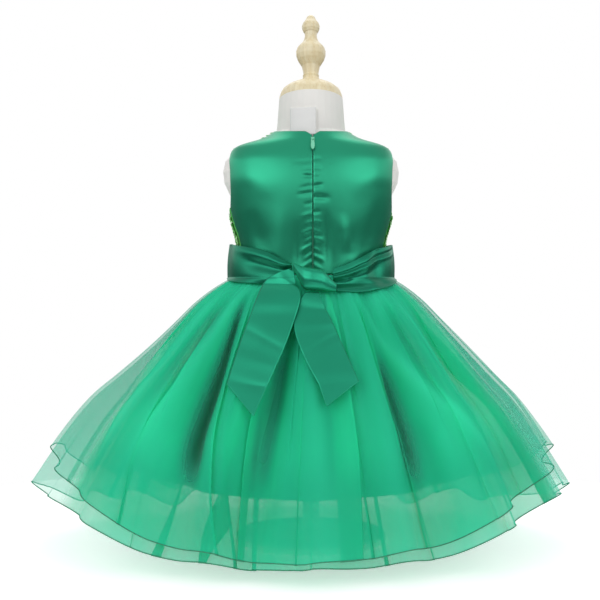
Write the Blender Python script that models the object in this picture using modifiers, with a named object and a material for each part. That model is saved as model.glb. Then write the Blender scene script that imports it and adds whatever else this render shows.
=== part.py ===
"""Princess dress on a limbless child's dress form: metres, +Z up.

+Y is the front of the dress, so its zipped back faces -Y, and +X is the wearer's right.
The origin is the centre of the stand's underside. Every cloth piece is a wall that is
drawn as its outer surface and thickened inwards.
"""

from collections import namedtuple
from math import atan2, cos, hypot, pi, radians, sin, sqrt, tan

import bmesh
import bpy
from mathutils import Vector

# Driving sizes
SEAM = 0.0003
PANEL_GAP = 0.0008
SATIN = 0.0015
TULLE = 0.0011
SASH_CLOTH = 0.0016
LABEL_CLOTH = 0.001
WAIST_Z = 0.352
NECK_Z = 0.5445
SHOULDER_TIP_Z = 0.5208

# The form's cover: height, half-width, half-depth
Girth = namedtuple("Girth", "z half_width half_depth")
FORM = [
    Girth(0.170, 0.0880, 0.0690),
    Girth(0.200, 0.1000, 0.0785),
    Girth(0.260, 0.1030, 0.0815),
    Girth(0.310, 0.0960, 0.0765),
    Girth(0.345, 0.0898, 0.0700),
    Girth(0.370, 0.0890, 0.0700),
    Girth(0.400, 0.0915, 0.0710),
    Girth(0.425, 0.0965, 0.0725),
    Girth(0.447, 0.1010, 0.0735),
    Girth(0.462, 0.1095, 0.0735),
    Girth(0.475, 0.1155, 0.0725),
    Girth(0.490, 0.1172, 0.0710),
    Girth(0.504, 0.1140, 0.0665),
    Girth(0.517, 0.1015, 0.0580),
    Girth(0.5232, 0.0900, 0.0535),
    Girth(0.5265, 0.0765, 0.0515),
    Girth(0.5308, 0.0635, 0.0495),
    Girth(0.5362, 0.0530, 0.0475),
    Girth(0.5430, 0.0460, 0.0452),
    Girth(0.5560, 0.0446, 0.0444),
    Girth(0.586, 0.0424, 0.0424),
]
FORM_COLUMNS = 30
NECK_TILT = radians(10)

# The bodice's outer surface: squareness is the power of its section's superellipse
Section = namedtuple("Section", "z half_width half_depth squareness")
BODICE = [
    Section(0.3500, 0.0960, 0.0765, 2.25),
    Section(0.3750, 0.0962, 0.0770, 2.25),
    Section(0.4000, 0.0985, 0.0780, 2.30),
    Section(0.4200, 0.1040, 0.0795, 2.35),
    Section(0.4400, 0.1080, 0.0805, 2.40),
    Section(0.4600, 0.1102, 0.0805, 2.50),
    Section(0.4800, 0.1114, 0.0790, 2.60),
    Section(0.5000, 0.1115, 0.0750, 2.60),
    Section(0.5120, 0.1085, 0.0692, 2.50),
    Section(0.5208, 0.1030, 0.0638, 2.40),
    Section(0.5262, 0.0925, 0.0605, 2.30),
    Section(0.5286, 0.0785, 0.0590, 2.20),
    Section(0.5333, 0.0655, 0.0561, 2.10),
    Section(0.5389, 0.0560, 0.0527, 2.05),
    Section(0.5445, 0.0475, 0.0495, 2.00),
]
# The armhole is an oval seen from the side. The side seam runs up into its lower back
ARMHOLE_HALF_WIDTH = 0.0360
ARMHOLE_BOTTOM_Z = 0.4320
SEAM_BACK_AT_WAIST = 0.0350
SEAM_BACK_AT_ARMHOLE = 0.0180
FRONT_NECK_DROP = 0.0300
BACK_NECK_DROP = 0.0072
NOTCH_DEPTH = 0.0060
NOTCH_HALF_WIDTH = 0.0090

# The zip: a chain in the centre back slit, and a slider whose pull swings on it
ZIP_X = 0.0016
CHAIN_WIDTH = 0.0016
SLIT_GAP = 0.0004
CHAIN_BOTTOM_Z = 0.3530
CHAIN_TOP_Z = 0.5300
CHAIN_ROWS = 14
CHAIN_SINK = 0.0002
SLIDER_Z = 0.5245
SLIDER_SIZE = (0.0044, 0.0075, 0.0012)
SLIDER_LIFT = 0.0006
BRIDGE_RADIUS = 0.0019
BRIDGE_WIRE = 0.0004
PULL_LENGTH = 0.0170
PULL_WIDTH = 0.0056
PULL_THICKNESS = 0.0012
PULL_RIM = 0.00045
EYE_LENGTH = 0.0025
EYE_WIDTH = 0.0024

# The skirt: its waist, the long tulle's hem, and the shape of the line down its side
WAIST_HALF_WIDTH = 0.0988
WAIST_HALF_DEPTH = 0.0788
HEM_HALF_WIDTH = 0.3550
HEM_HALF_DEPTH = 0.2660
HEM_SHIFT = -0.0120
Flare = namedtuple("Flare", "drop run")
FLARE = [
    Flare(0.000, 0.000),
    Flare(0.020, 0.050),
    Flare(0.115, 0.195),
    Flare(0.216, 0.308),
    Flare(0.351, 0.455),
    Flare(0.480, 0.591),
    Flare(0.587, 0.704),
    Flare(0.744, 0.828),
    Flare(1.000, 1.000),
]
# Heights of the long hem, and how far the short tulle stops before it, round from the back
Hem = namedtuple("Hem", "angle z short")
HEMS = [
    Hem(0, 0.024, 0.012),
    Hem(30, 0.036, 0.040),
    Hem(45, 0.058, 0.065),
    Hem(60, 0.080, 0.090),
    Hem(75, 0.086, 0.150),
    Hem(90, 0.080, 0.185),
    Hem(105, 0.058, 0.150),
    Hem(135, 0.036, 0.070),
    Hem(180, 0.022, 0.030),
]
FLUTES = 18
FLUTE_SAMPLES = 8
# How deep the flutes are down the skirt, and how far the inner tulle lies behind the outer
Layer = namedtuple("Layer", "drop flute behind")
LAYERS = [
    Layer(0.00, 0.0005, 0.0004),
    Layer(0.02, 0.0010, 0.0008),
    Layer(0.08, 0.0022, 0.0018),
    Layer(0.20, 0.0042, 0.0046),
    Layer(0.50, 0.0095, 0.0080),
    Layer(1.00, 0.0170, 0.0075),
]
# The largest folds: angle from the back at the waist and at the hem, depth, half-width
Fold = namedtuple("Fold", "waist_angle hem_angle depth half_angle")
FOLDS = [
    Fold(-64, -60, 0.012, 5.0),
    Fold(-37, -23, 0.023, 4.6),
    Fold(-8, -12, 0.020, 3.8),
    Fold(6, 7, 0.012, 3.0),
    Fold(29, 24, 0.022, 4.4),
    Fold(56, 52, 0.014, 4.6),
    Fold(78, 74, 0.012, 5.0),
    Fold(121, 116, 0.018, 5.0),
    Fold(152, 150, 0.020, 4.6),
    Fold(-176, -177, 0.016, 4.4),
    Fold(-148, -143, 0.021, 4.8),
    Fold(-116, -110, 0.014, 5.0),
]
LINING_WAIST_HALF_WIDTH = 0.0942
LINING_WAIST_HALF_DEPTH = 0.0745
LINING_HEM_HALF_WIDTH = 0.2230
LINING_HEM_HALF_DEPTH = 0.1820
LINING_HEM_Z = 0.0850
LINING_SIDE_RISE = 0.0180
LINING_FLUTES = 12
LINING_FLUTE_DEPTH = 0.0050
LINING_COLUMNS = 60

# The sash round the waist: each tie's edges by the angle from the back
Band = namedtuple("Band", "angle top bottom puff")
TIE_LEFT = [
    Band(12.5, 0.3660, 0.3560, 0.0045),
    Band(19.0, 0.3715, 0.3440, 0.0040),
    Band(30.0, 0.3817, 0.3405, 0.0040),
    Band(42.0, 0.3868, 0.3415, 0.0030),
    Band(60.0, 0.3910, 0.3445, 0.0020),
    Band(78.0, 0.3935, 0.3480, 0.0015),
    Band(97.0, 0.3940, 0.3490, 0.0010),
]
TIE_RIGHT = [
    Band(13.0, 0.3590, 0.3315, 0.0030),
    Band(24.0, 0.3665, 0.3300, 0.0040),
    Band(36.0, 0.3770, 0.3325, 0.0040),
    Band(46.0, 0.3845, 0.3365, 0.0030),
    Band(62.0, 0.3895, 0.3425, 0.0020),
    Band(80.0, 0.3925, 0.3480, 0.0015),
    Band(97.0, 0.3940, 0.3490, 0.0010),
]
FRONT_BAND = [
    Band(0.0, 0.3920, 0.3470, 0.0010),
    Band(45.0, 0.3930, 0.3480, 0.0010),
    Band(82.0, 0.3940, 0.3490, 0.0010),
]
SASH_TOP_GIRTH = (0.1085, 0.0835)
SASH_BOTTOM_GIRTH = (0.1112, 0.0985)

# The tails: the centre line's x and z, half-width across it, and stand-off from the skirt
Tail = namedtuple("Tail", "x z left right stand_off")
TAIL_LEFT = [
    Tail(-0.0250, 0.3570, 0.0040, 0.0030, 0.0045),
    Tail(-0.0305, 0.3460, 0.0160, 0.0120, 0.0055),
    Tail(-0.0370, 0.3310, 0.0255, 0.0245, 0.0080),
    Tail(-0.0534, 0.2851, 0.0265, 0.0265, 0.0065),
    Tail(-0.0657, 0.2528, 0.0252, 0.0252, 0.0030),
    Tail(-0.0774, 0.2198, 0.0239, 0.0239, 0.0009),
]
TAIL_LEFT_TIP = Tail(-0.0688, 0.1873, 0.0010, 0.0010, 0.0009)
TAIL_RIGHT = [
    Tail(0.0005, 0.3294, 0.0080, 0.0080, 0.0045),
    Tail(0.0000, 0.3140, 0.0180, 0.0140, 0.0038),
    Tail(0.0010, 0.2935, 0.0240, 0.0220, 0.0026),
    Tail(0.0120, 0.2628, 0.0240, 0.0240, 0.0016),
    Tail(0.0312, 0.2228, 0.0236, 0.0236, 0.0010),
]
TAIL_RIGHT_TIP = Tail(0.0169, 0.1981, 0.0010, 0.0010, 0.0010)

# The knot's roll: its axis, and its half-height and half-depth across that
Roll = namedtuple("Roll", "x y z half_height half_depth")
KNOT = [
    Roll(-0.0220, -0.1005, 0.3625, 0.0030, 0.0026),
    Roll(-0.0150, -0.1080, 0.3530, 0.0085, 0.0062),
    Roll(-0.0080, -0.1130, 0.3465, 0.0130, 0.0085),
    Roll(0.0015, -0.1150, 0.3455, 0.0125, 0.0090),
    Roll(0.0125, -0.1140, 0.3440, 0.0118, 0.0085),
    Roll(0.0220, -0.1115, 0.3390, 0.0078, 0.0055),
    Roll(0.0300, -0.1085, 0.3350, 0.0040, 0.0030),
]
KNOT_SIDES = 14

# The label stands up from behind the back neck edge, and leans in
LABEL_LEFT = -0.0275
LABEL_RIGHT = 0.0062
LABEL_TOP_Z = 0.5690
LABEL_TUCK = 0.0040
LABEL_INSIDE = 0.0023
LABEL_LEAN = 0.0035

# The neck cap and finial share one axis, which leans with the neck's top
CAP_RADIUS = 0.0422
CAP_HEIGHT = 0.0250
FINIAL_FOOT_RADIUS = 0.0114
Turning = namedtuple("Turning", "height radius")
FINIAL = [
    Turning(0.0000, 0.0000),
    Turning(0.0000, 0.0112),
    Turning(0.0048, 0.0114),
    Turning(0.0064, 0.0102),
    Turning(0.0088, 0.0110),
    Turning(0.0108, 0.0100),
    Turning(0.0130, 0.0103),
    Turning(0.0172, 0.0110),
    Turning(0.0220, 0.0122),
    Turning(0.0270, 0.0152),
    Turning(0.0310, 0.0177),
    Turning(0.0370, 0.0196),
    Turning(0.0432, 0.0200),
    Turning(0.0475, 0.0185),
    Turning(0.0504, 0.0164),
    Turning(0.0535, 0.0132),
    Turning(0.0560, 0.0112),
    Turning(0.0590, 0.0096),
    Turning(0.0625, 0.0085),
    Turning(0.0660, 0.0081),
    Turning(0.0698, 0.0086),
    Turning(0.0712, 0.0101),
    Turning(0.0750, 0.0117),
    Turning(0.0790, 0.0122),
    Turning(0.0830, 0.0109),
    Turning(0.0857, 0.0088),
    Turning(0.0882, 0.0071),
    Turning(0.0917, 0.0056),
    Turning(0.0940, 0.0033),
    Turning(0.0950, 0.0000),
]
TURNED_SIDES = 18
BASE_RADIUS = 0.1000
BASE_HEIGHT = 0.0120
POLE_RADIUS = 0.0110

# Colours, linear
GREEN_SATIN = (0.010, 0.250, 0.140)
GREEN_SASH = (0.009, 0.200, 0.110)
GREEN_TULLE = (0.020, 0.450, 0.230)
GREEN_LINING = (0.008, 0.190, 0.100)
LIME_SEQUIN = (0.180, 0.600, 0.080)
MINT = (0.200, 0.620, 0.420)
CREAM = (0.780, 0.740, 0.660)
BEECH = (0.700, 0.520, 0.270)
WHITE = (0.850, 0.850, 0.850)
PALE_STAND = (0.780, 0.770, 0.740)


class Smooth:
    """Reads one column of a table by its first, along a curve that never overshoots a row."""

    def __init__(self, rows, column):
        self.keys = [row[0] for row in rows]
        self.values = [getattr(row, column) for row in rows]
        pairs = list(zip(self.keys, self.values))
        rises = [(v1 - v0) / (k1 - k0) for (k0, v0), (k1, v1) in zip(pairs, pairs[1:])]
        self.slopes = [rises[0]]
        for before, after in zip(rises, rises[1:]):
            same_way = before * after > 0
            self.slopes.append(2 * before * after / (before + after) if same_way else 0.0)
        self.slopes.append(rises[-1])

    def __call__(self, key):
        if key <= self.keys[0]:
            return self.values[0]
        if key >= self.keys[-1]:
            return self.values[-1]
        i = max(n for n, k in enumerate(self.keys[:-1]) if k <= key)
        span = self.keys[i + 1] - self.keys[i]
        s = (key - self.keys[i]) / span
        step = s * s * (3 - 2 * s)
        return (
            self.values[i] * (1 - step)
            + self.values[i + 1] * step
            + self.slopes[i] * span * s * (1 - s) ** 2
            - self.slopes[i + 1] * span * s * s * (1 - s)
        )


def ease(low, high, value):
    """0 below low, 1 above high, and a soft step between."""
    s = min(max((value - low) / (high - low), 0.0), 1.0)
    return s * s * (3 - 2 * s)


def material(name, colour, roughness, metallic=0.0):
    made = bpy.data.materials.new(name)
    made.use_nodes = True
    shader = made.node_tree.nodes["Principled BSDF"]
    shader.inputs["Base Color"].default_value = (*colour, 1.0)
    shader.inputs["Roughness"].default_value = roughness
    shader.inputs["Metallic"].default_value = metallic
    made.diffuse_color = (*colour, 1.0)
    return made


def smooth_shade(mesh, sharp_degrees=40):
    mesh.shade_smooth()
    mesh.set_sharp_from_angle(angle=radians(sharp_degrees))


def place(name, mesh, finish, parent=None):
    """Puts a mesh in the dress's collection as one named piece."""
    piece = bpy.data.objects.new(name, mesh)
    mesh.materials.clear()
    mesh.materials.append(finish)
    DRESS.objects.link(piece)
    if parent is not None:
        piece.parent = parent
    return piece


def grid_mesh(name, rows, closed):
    """A sheet through rows of points, which run up the piece and turn from -Y towards +X."""
    mesh = bpy.data.meshes.new(name)
    count = len(rows[0])
    faces = []
    for i in range(len(rows) - 1):
        for j in range(count if closed else count - 1):
            k = (j + 1) % count
            faces.append((i * count + j, i * count + k, (i + 1) * count + k, (i + 1) * count + j))
    mesh.from_pydata([tuple(p) for row in rows for p in row], [], faces)
    smooth_shade(mesh, 60)
    return mesh


def cloth(name, rows, thickness, finish, closed=False):
    """A wall of cloth inwards of the sheet through rows."""
    piece = place(name, grid_mesh(name, rows, closed), finish)
    wall = piece.modifiers.new("Wall", "SOLIDIFY")
    wall.thickness = thickness
    wall.offset = -1
    return piece


def lofted(name, rings, finish, parent=None):
    """A closed solid through rings that run up it."""
    mesh = grid_mesh(name, rings, closed=True)
    shape = bmesh.new()
    shape.from_mesh(mesh)
    bmesh.ops.holes_fill(shape, edges=[e for e in shape.edges if e.is_boundary], sides=0)
    bmesh.ops.recalc_face_normals(shape, faces=shape.faces)
    shape.to_mesh(mesh)
    shape.free()
    smooth_shade(mesh)
    return place(name, mesh, finish, parent)


# The form

FORM_WIDTH = Smooth(FORM, "half_width")
FORM_DEPTH = Smooth(FORM, "half_depth")


def form_ring(z, tilt):
    """A ring round the form. The neck's top one is cut on a slope, higher at the back."""
    ring = []
    for i in range(FORM_COLUMNS):
        angle = 2 * pi * i / FORM_COLUMNS
        x = FORM_WIDTH(z) * sin(angle)
        y = -FORM_DEPTH(z) * cos(angle)
        ring.append(Vector((x, y, z - tilt * y)))
    return ring


def make_form():
    cover = material("cream_cover", CREAM, 0.85)
    wood = material("beech_wood", BEECH, 0.4)
    stand = material("pale_stand", PALE_STAND, 0.5)
    slope_start = FORM[-2].z
    rings = []
    for girth in FORM:
        tilt = tan(NECK_TILT) * ease(slope_start - 0.012, FORM[-1].z, girth.z)
        rings.append(form_ring(girth.z, tilt))
    lofted("form_torso", rings, cover)

    neck = bpy.data.objects.new("neck_axis", None)
    neck.location = (0, 0, FORM[-1].z)
    neck.rotation_euler = (-NECK_TILT, 0, 0)
    DRESS.objects.link(neck)
    turned("form_neck_cap", cap_profile(), wood, neck, SEAM)
    turned("form_finial", FINIAL, wood, neck, 2 * SEAM + CAP_HEIGHT)

    pole_bottom = BASE_HEIGHT + SEAM
    pole_top = FORM[0].z - SEAM
    cylinder("form_pole", POLE_RADIUS, pole_bottom, pole_top, 24, stand, 0.0)
    cylinder("form_base", BASE_RADIUS, 0.0, BASE_HEIGHT, 48, stand, 0.003)


def cap_profile():
    """A dome with a small flat on top for the finial's foot."""
    rows = [Turning(0.0, 0.0), Turning(0.0, CAP_RADIUS)]
    rows.append(Turning(0.0030, CAP_RADIUS))
    steps = 7
    flat = FINIAL_FOOT_RADIUS + 0.0006
    rise = CAP_HEIGHT - 0.0030
    last = sqrt(1 - (flat / CAP_RADIUS) ** 2)
    for i in range(1, steps + 1):
        share = sin(0.5 * pi * i / steps)
        radius = CAP_RADIUS * sqrt(1 - (share * last) ** 2)
        rows.append(Turning(0.0030 + rise * share, radius))
    rows.append(Turning(CAP_HEIGHT, 0.0))
    return rows


def turned(name, rows, finish, parent, lift):
    """A solid of revolution: the profile runs down its outer side, from top to bottom."""
    mesh = bpy.data.meshes.new(name)
    profile = [(row.radius, 0.0, row.height) for row in reversed(rows)]
    mesh.from_pydata(profile, [(i, i + 1) for i in range(len(profile) - 1)], [])
    piece = place(name, mesh, finish, parent)
    piece.location = (0, 0, lift)
    screw = piece.modifiers.new("Turn", "SCREW")
    screw.steps = TURNED_SIDES
    screw.render_steps = TURNED_SIDES
    screw.use_merge_vertices = True
    screw.merge_threshold = 0.00005
    screw.use_smooth_shade = True
    return piece


def cylinder(name, radius, bottom, top, sides, finish, rounding):
    bpy.ops.mesh.primitive_cylinder_add(
        vertices=sides, radius=radius, depth=top - bottom, location=(0, 0, 0.5 * (top + bottom))
    )
    piece = bpy.context.object
    piece.name = name
    piece.data.name = name
    for collection in piece.users_collection:
        collection.objects.unlink(piece)
    DRESS.objects.link(piece)
    piece.data.materials.append(finish)
    smooth_shade(piece.data)
    if rounding:
        edge = piece.modifiers.new("Edge", "BEVEL")
        edge.width = rounding
        edge.segments = 1
        edge.limit_method = "ANGLE"
    return piece


# The bodice: flat pattern pieces, wrapped round the sections

BODICE_WIDTH = Smooth(BODICE, "half_width")
BODICE_DEPTH = Smooth(BODICE, "half_depth")
BODICE_SQUARENESS = Smooth(BODICE, "squareness")
ARC_STEPS = 72


def section_arc(z):
    """Half the section at height z from one centre line to the other: (distance, x, y)."""
    width = BODICE_WIDTH(z)
    depth = BODICE_DEPTH(z)
    power = 2 / BODICE_SQUARENESS(z)
    arc = []
    walked = 0.0
    for i in range(ARC_STEPS + 1):
        angle = pi * i / ARC_STEPS
        x = width * max(sin(angle), 0.0) ** power
        y = depth * abs(cos(angle)) ** power * (1 if cos(angle) >= 0 else -1)
        if arc:
            walked += hypot(x - arc[-1][1], y - arc[-1][2])
        arc.append((walked, x, y))
    return arc


def wrapped(distance, z, face):
    """The point that lies this far round from the centre of the back (-1) or front (+1)."""
    arc = section_arc(z)
    reach = abs(distance)
    side = 1 if distance >= 0 else -1
    for (d0, x0, y0), (d1, x1, y1) in zip(arc, arc[1:]):
        if reach <= d1:
            s = (reach - d0) / (d1 - d0)
            return Vector((side * (x0 + (x1 - x0) * s), face * (y0 + (y1 - y0) * s), z))
    return Vector((0, -face * arc[-1][2], z))


def distance_to(y_from_side, z):
    """How far round the section lies, from one centre, the point at this y before the side."""
    arc = section_arc(z)
    for (d0, _, y0), (d1, _, y1) in zip(arc, arc[1:]):
        if y0 >= y_from_side >= y1:
            return d0 + (d1 - d0) * (y0 - y_from_side) / (y0 - y1)
    return arc[ARC_STEPS // 2][0]


ARMHOLE_HALF_HEIGHT = 0.5 * (SHOULDER_TIP_Z - ARMHOLE_BOTTOM_Z)
ARMHOLE_Z = 0.5 * (SHOULDER_TIP_Z + ARMHOLE_BOTTOM_Z)
SEAM_TOP_DROP = ARMHOLE_HALF_HEIGHT * sqrt(1 - (SEAM_BACK_AT_ARMHOLE / ARMHOLE_HALF_WIDTH) ** 2)
SEAM_TOP_Z = ARMHOLE_Z - SEAM_TOP_DROP
BODICE_BOTTOM_Z = WAIST_Z + SEAM + LAYERS[0].flute
FRONT = 1
BACK = -1
# Shares of the way up a panel where its rows lie, closer together over the shoulder
PANEL_ROWS = (0, 0.1, 0.2, 0.3, 0.4, 0.5, 0.6, 0.7, 0.79, 0.87, 0.93, 0.97, 1)
SEAM_SHARE = 0.5
NECK_COLUMNS = 5
SHOULDER_COLUMNS = 5


def outer_edge(face, share):
    """A point of the panel's outer edge: up the side seam, then round the armhole."""
    if share <= SEAM_SHARE:
        up = share / SEAM_SHARE
        z = BODICE_BOTTOM_Z + (SEAM_TOP_Z - BODICE_BOTTOM_Z) * up
        back = SEAM_BACK_AT_WAIST + (SEAM_BACK_AT_ARMHOLE - SEAM_BACK_AT_WAIST) * up
        return distance_to(face * -back + 0.5 * PANEL_GAP, z), z
    low = atan2(-SEAM_TOP_DROP / ARMHOLE_HALF_HEIGHT, -SEAM_BACK_AT_ARMHOLE / ARMHOLE_HALF_WIDTH)
    tip = 0.5 * pi if face == FRONT else -1.5 * pi
    angle = low + (tip - low) * (share - SEAM_SHARE) / (1 - SEAM_SHARE)
    y = ARMHOLE_HALF_WIDTH * cos(angle)
    z = ARMHOLE_Z + ARMHOLE_HALF_HEIGHT * sin(angle)
    return distance_to(face * y, z), z


def top_edge(face, start, notch_at):
    """The neckline, then the shoulder seam to its tip, with a point for each column."""
    neck_reach = distance_to(0, NECK_Z)
    line = []
    for i in range(NECK_COLUMNS + 1):
        distance = start + (neck_reach - start) * i / NECK_COLUMNS
        dip = 1 - (distance / neck_reach) ** 2
        if face == FRONT:
            drop = FRONT_NECK_DROP * dip
        else:
            notch = max(0.0, 1 - abs(distance - notch_at) / NOTCH_HALF_WIDTH)
            drop = BACK_NECK_DROP * dip + NOTCH_DEPTH * notch
        line.append((distance, NECK_Z - drop))
    for i in range(1, SHOULDER_COLUMNS + 1):
        z = NECK_Z + (SHOULDER_TIP_Z - NECK_Z) * i / SHOULDER_COLUMNS
        line.append((distance_to(0, z), z))
    return line


def pattern(face, start=0.0, notch_at=0.0):
    """Rows of (distance round, height) that fill a flat pattern piece between its four edges."""
    top = top_edge(face, start, notch_at)
    columns = len(top) - 1
    corner = outer_edge(face, 0)
    rows = []
    for v in PANEL_ROWS:
        centre = (start, BODICE_BOTTOM_Z + (top[0][1] - BODICE_BOTTOM_Z) * v)
        edge = outer_edge(face, v)
        row = []
        for i, above in enumerate(top):
            u = i / columns
            below = (start + (corner[0] - start) * u, BODICE_BOTTOM_Z)
            point = []
            for k, first in enumerate((start, BODICE_BOTTOM_Z)):
                sides = (1 - u) * centre[k] + u * edge[k]
                ends = (1 - v) * below[k] + v * above[k]
                corners = (
                    (1 - u) * (1 - v) * first
                    + u * (1 - v) * corner[k]
                    + (1 - u) * v * top[0][k]
                    + u * v * top[-1][k]
                )
                point.append(sides + ends - corners)
            row.append(point)
        rows.append(row)
    return rows


SHOULDER_GAP = 0.5 * SEAM + 0.0002


def panel_point(distance, z, face, side):
    """A point of a worn panel, kept clear of its neighbour at the shoulder seam."""
    point = wrapped(side * distance, z, face)
    if z > SHOULDER_TIP_Z - 0.001 and abs(point.y) < SHOULDER_GAP:
        point.y = face * SHOULDER_GAP
    return point


def make_bodice():
    satin = material("green_satin", GREEN_SATIN, 0.3)
    sequins = material("lime_sequins", LIME_SEQUIN, 0.35, 0.3)
    half_slit = 0.5 * CHAIN_WIDTH + SLIT_GAP
    for name, side in (("bodice_back_left", -1), ("bodice_back_right", 1)):
        start = side * ZIP_X + half_slit
        rows = [
            [panel_point(distance, z, BACK, side) for distance, z in row]
            for row in pattern(BACK, start, side * ZIP_X)
        ]
        if side < 0:
            rows = [list(reversed(row)) for row in rows]
        cloth(name, rows, SATIN, satin)
    rows = []
    for row in pattern(FRONT):
        right = [panel_point(distance, z, FRONT, 1) for distance, z in row]
        left = [panel_point(distance, z, FRONT, -1) for distance, z in row[1:]]
        rows.append(list(reversed(right)) + left)
    cloth("bodice_front", rows, SATIN, sequins)


# The zip


def back_point(z, proud):
    """A point on the centre back line, this far outside the satin."""
    return Vector((ZIP_X, -BODICE_DEPTH(z) - proud, z))


def back_slope(z):
    """The way down the centre back, under the slider and its pull."""
    down = back_point(z - PULL_LENGTH, 0) - back_point(z + 0.5 * SLIDER_SIZE[1], 0)
    return down.normalized()


def make_zip():
    teeth = material("green_zip", GREEN_SATIN, 0.5)
    enamel = material("mint_enamel", MINT, 0.35, 0.2)
    rows = []
    half = 0.5 * CHAIN_WIDTH
    for i in range(CHAIN_ROWS + 1):
        z = CHAIN_BOTTOM_Z + (CHAIN_TOP_Z - CHAIN_BOTTOM_Z) * i / CHAIN_ROWS
        centre = back_point(z, -CHAIN_SINK)
        rows.append([centre + Vector((x, 0, 0)) for x in (-half, half)])
    cloth("zip_chain", rows, SATIN, teeth)

    up = -back_slope(SLIDER_Z)
    out = Vector((0, -up.z, up.y))
    pivot_height = SLIDER_LIFT + SLIDER_SIZE[2] + 2 * PULL_RIM
    pivot = back_point(SLIDER_Z, 0) + out * pivot_height
    make_slider(up, pivot, pivot_height, enamel)
    make_pull(up, pivot, enamel)


def oriented(piece, up, place_at):
    """Sets a piece flat on the back, its own +Y turned to this way up it."""
    tilt = atan2(up.y, up.z)
    piece.rotation_euler = (0.5 * pi - tilt, 0, 0)
    piece.location = place_at


def make_slider(up, pivot, pivot_height, finish):
    """A flat body with a wire bridge, a half ring about the pull's pivot."""
    width, length, height = SLIDER_SIZE
    shape = bmesh.new()
    bmesh.ops.create_cube(shape, size=1)
    bmesh.ops.scale(shape, vec=(width, length, height), verts=shape.verts)
    sink = pivot_height - SLIDER_LIFT - 0.5 * height
    bmesh.ops.translate(shape, vec=(0, 0, -sink), verts=shape.verts)
    mesh = bpy.data.meshes.new("zip_slider")
    shape.to_mesh(mesh)
    shape.free()
    slider = place("zip_slider", mesh, finish)
    oriented(slider, up, pivot)
    bpy.ops.mesh.primitive_torus_add(
        major_segments=20, minor_segments=6, major_radius=BRIDGE_RADIUS, minor_radius=BRIDGE_WIRE
    )
    bridge = bpy.context.object
    bridge.name = "zip_bridge_ring"
    for collection in bridge.users_collection:
        collection.objects.unlink(bridge)
    CUTTERS.objects.link(bridge)
    bridge.hide_render = True
    bridge.display_type = "WIRE"
    bridge.parent = slider
    bridge.rotation_euler = (0, 0.5 * pi, 0)
    join = slider.modifiers.new("Bridge", "BOOLEAN")
    join.operation = "UNION"
    join.object = bridge


def make_pull(up, pivot, finish):
    """A teardrop tab with an eye. Its origin is its pivot, at the eye's top rim."""
    outline = bpy.data.curves.new("zip_pull", "CURVE")
    outline.dimensions = "2D"
    outline.fill_mode = "BOTH"
    outline.extrude = 0.5 * PULL_THICKNESS
    outline.resolution_u = 1
    steps = 20
    tear = []
    for i in range(steps):
        angle = 2 * pi * i / steps
        low = 0.5 * (1 - cos(angle))
        half = 0.5 * PULL_WIDTH * (0.72 + 0.28 * low)
        y = PULL_RIM - PULL_LENGTH * low
        tear.append((half * sin(angle) * (1 + 0.15 * cos(angle) ** 2), y))
    eye = []
    eye_steps = 12
    for i in range(eye_steps):
        angle = 2 * pi * i / eye_steps
        y = -PULL_RIM - 0.5 * EYE_LENGTH * (1 - cos(angle))
        eye.append((0.5 * EYE_WIDTH * sin(angle), y))
    for ring in (tear, eye):
        spline = outline.splines.new("POLY")
        spline.points.add(len(ring) - 1)
        for point, (x, y) in zip(spline.points, ring):
            point.co = (x, y, 0, 1)
        spline.use_cyclic_u = True
    outline.materials.append(finish)
    pull = bpy.data.objects.new("zip_pull", outline)
    DRESS.objects.link(pull)
    oriented(pull, up, pivot)


# The skirt

RUN = Smooth(FLARE, "run")
HEM_Z = Smooth(HEMS, "z")
HEM_SHORT = Smooth(HEMS, "short")
FLUTE_DEPTH = Smooth(LAYERS, "flute")
LAYER_BEHIND = Smooth(LAYERS, "behind")


def folded_angle(angle):
    """An angle in degrees as its size from the back, 0 to 180."""
    turned_by = abs(angle) % 360
    return 360 - turned_by if turned_by > 180 else turned_by


def skirt_base(angle, drop):
    """The smooth skirt, without folds, at this angle from the back and share of the fall."""
    run = RUN(drop)
    a = radians(angle)
    half_width = WAIST_HALF_WIDTH + (HEM_HALF_WIDTH - WAIST_HALF_WIDTH) * run
    half_depth = WAIST_HALF_DEPTH + (HEM_HALF_DEPTH - WAIST_HALF_DEPTH) * run
    z = WAIST_Z - (WAIST_Z - HEM_Z(folded_angle(angle))) * drop
    return Vector((HEM_SHIFT * run + half_width * sin(a), -half_depth * cos(a), z))


def skirt_out(angle, drop):
    """The way out of the smooth skirt, square to it."""
    low = min(max(drop, 0.015), 0.98)
    round_it = skirt_base(angle + 0.5, low) - skirt_base(angle - 0.5, low)
    up_it = skirt_base(angle, low - 0.015) - skirt_base(angle, low + 0.015)
    return round_it.cross(up_it).normalized()


def uneven(place_round):
    """Where round the skirt a place of the cloth hangs: its flutes are not evenly spread."""
    a = radians(place_round)
    return place_round + 3.2 * sin(2 * a + 0.6) + 2.6 * sin(5 * a + 1.9)


def fold_offset(place_round, angle, drop):
    """How far the folded cloth stands out of the smooth skirt."""
    a = radians(place_round)
    strength = 0.82 + 0.18 * sin(3 * a + 0.8) * sin(7 * a)
    offset = FLUTE_DEPTH(drop) * strength * cos(FLUTES * a)
    for fold in FOLDS:
        centre = fold.waist_angle + (fold.hem_angle - fold.waist_angle) * drop
        away = (angle - centre + 180) % 360 - 180
        if abs(away) < 2 * fold.half_angle:
            trough = cos(0.25 * pi * away / fold.half_angle) ** 2
            offset -= fold.depth * ease(0.04, 0.45, drop) * trough
    return offset


def tulle_point(place_round, drop, behind):
    angle = uneven(place_round)
    offset = fold_offset(place_round, angle, drop) - behind
    return skirt_base(angle, drop) + skirt_out(angle, drop) * offset


TULLE_ROWS = (0, 0.02, 0.08, 0.22, 0.44, 0.70, 1)


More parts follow.
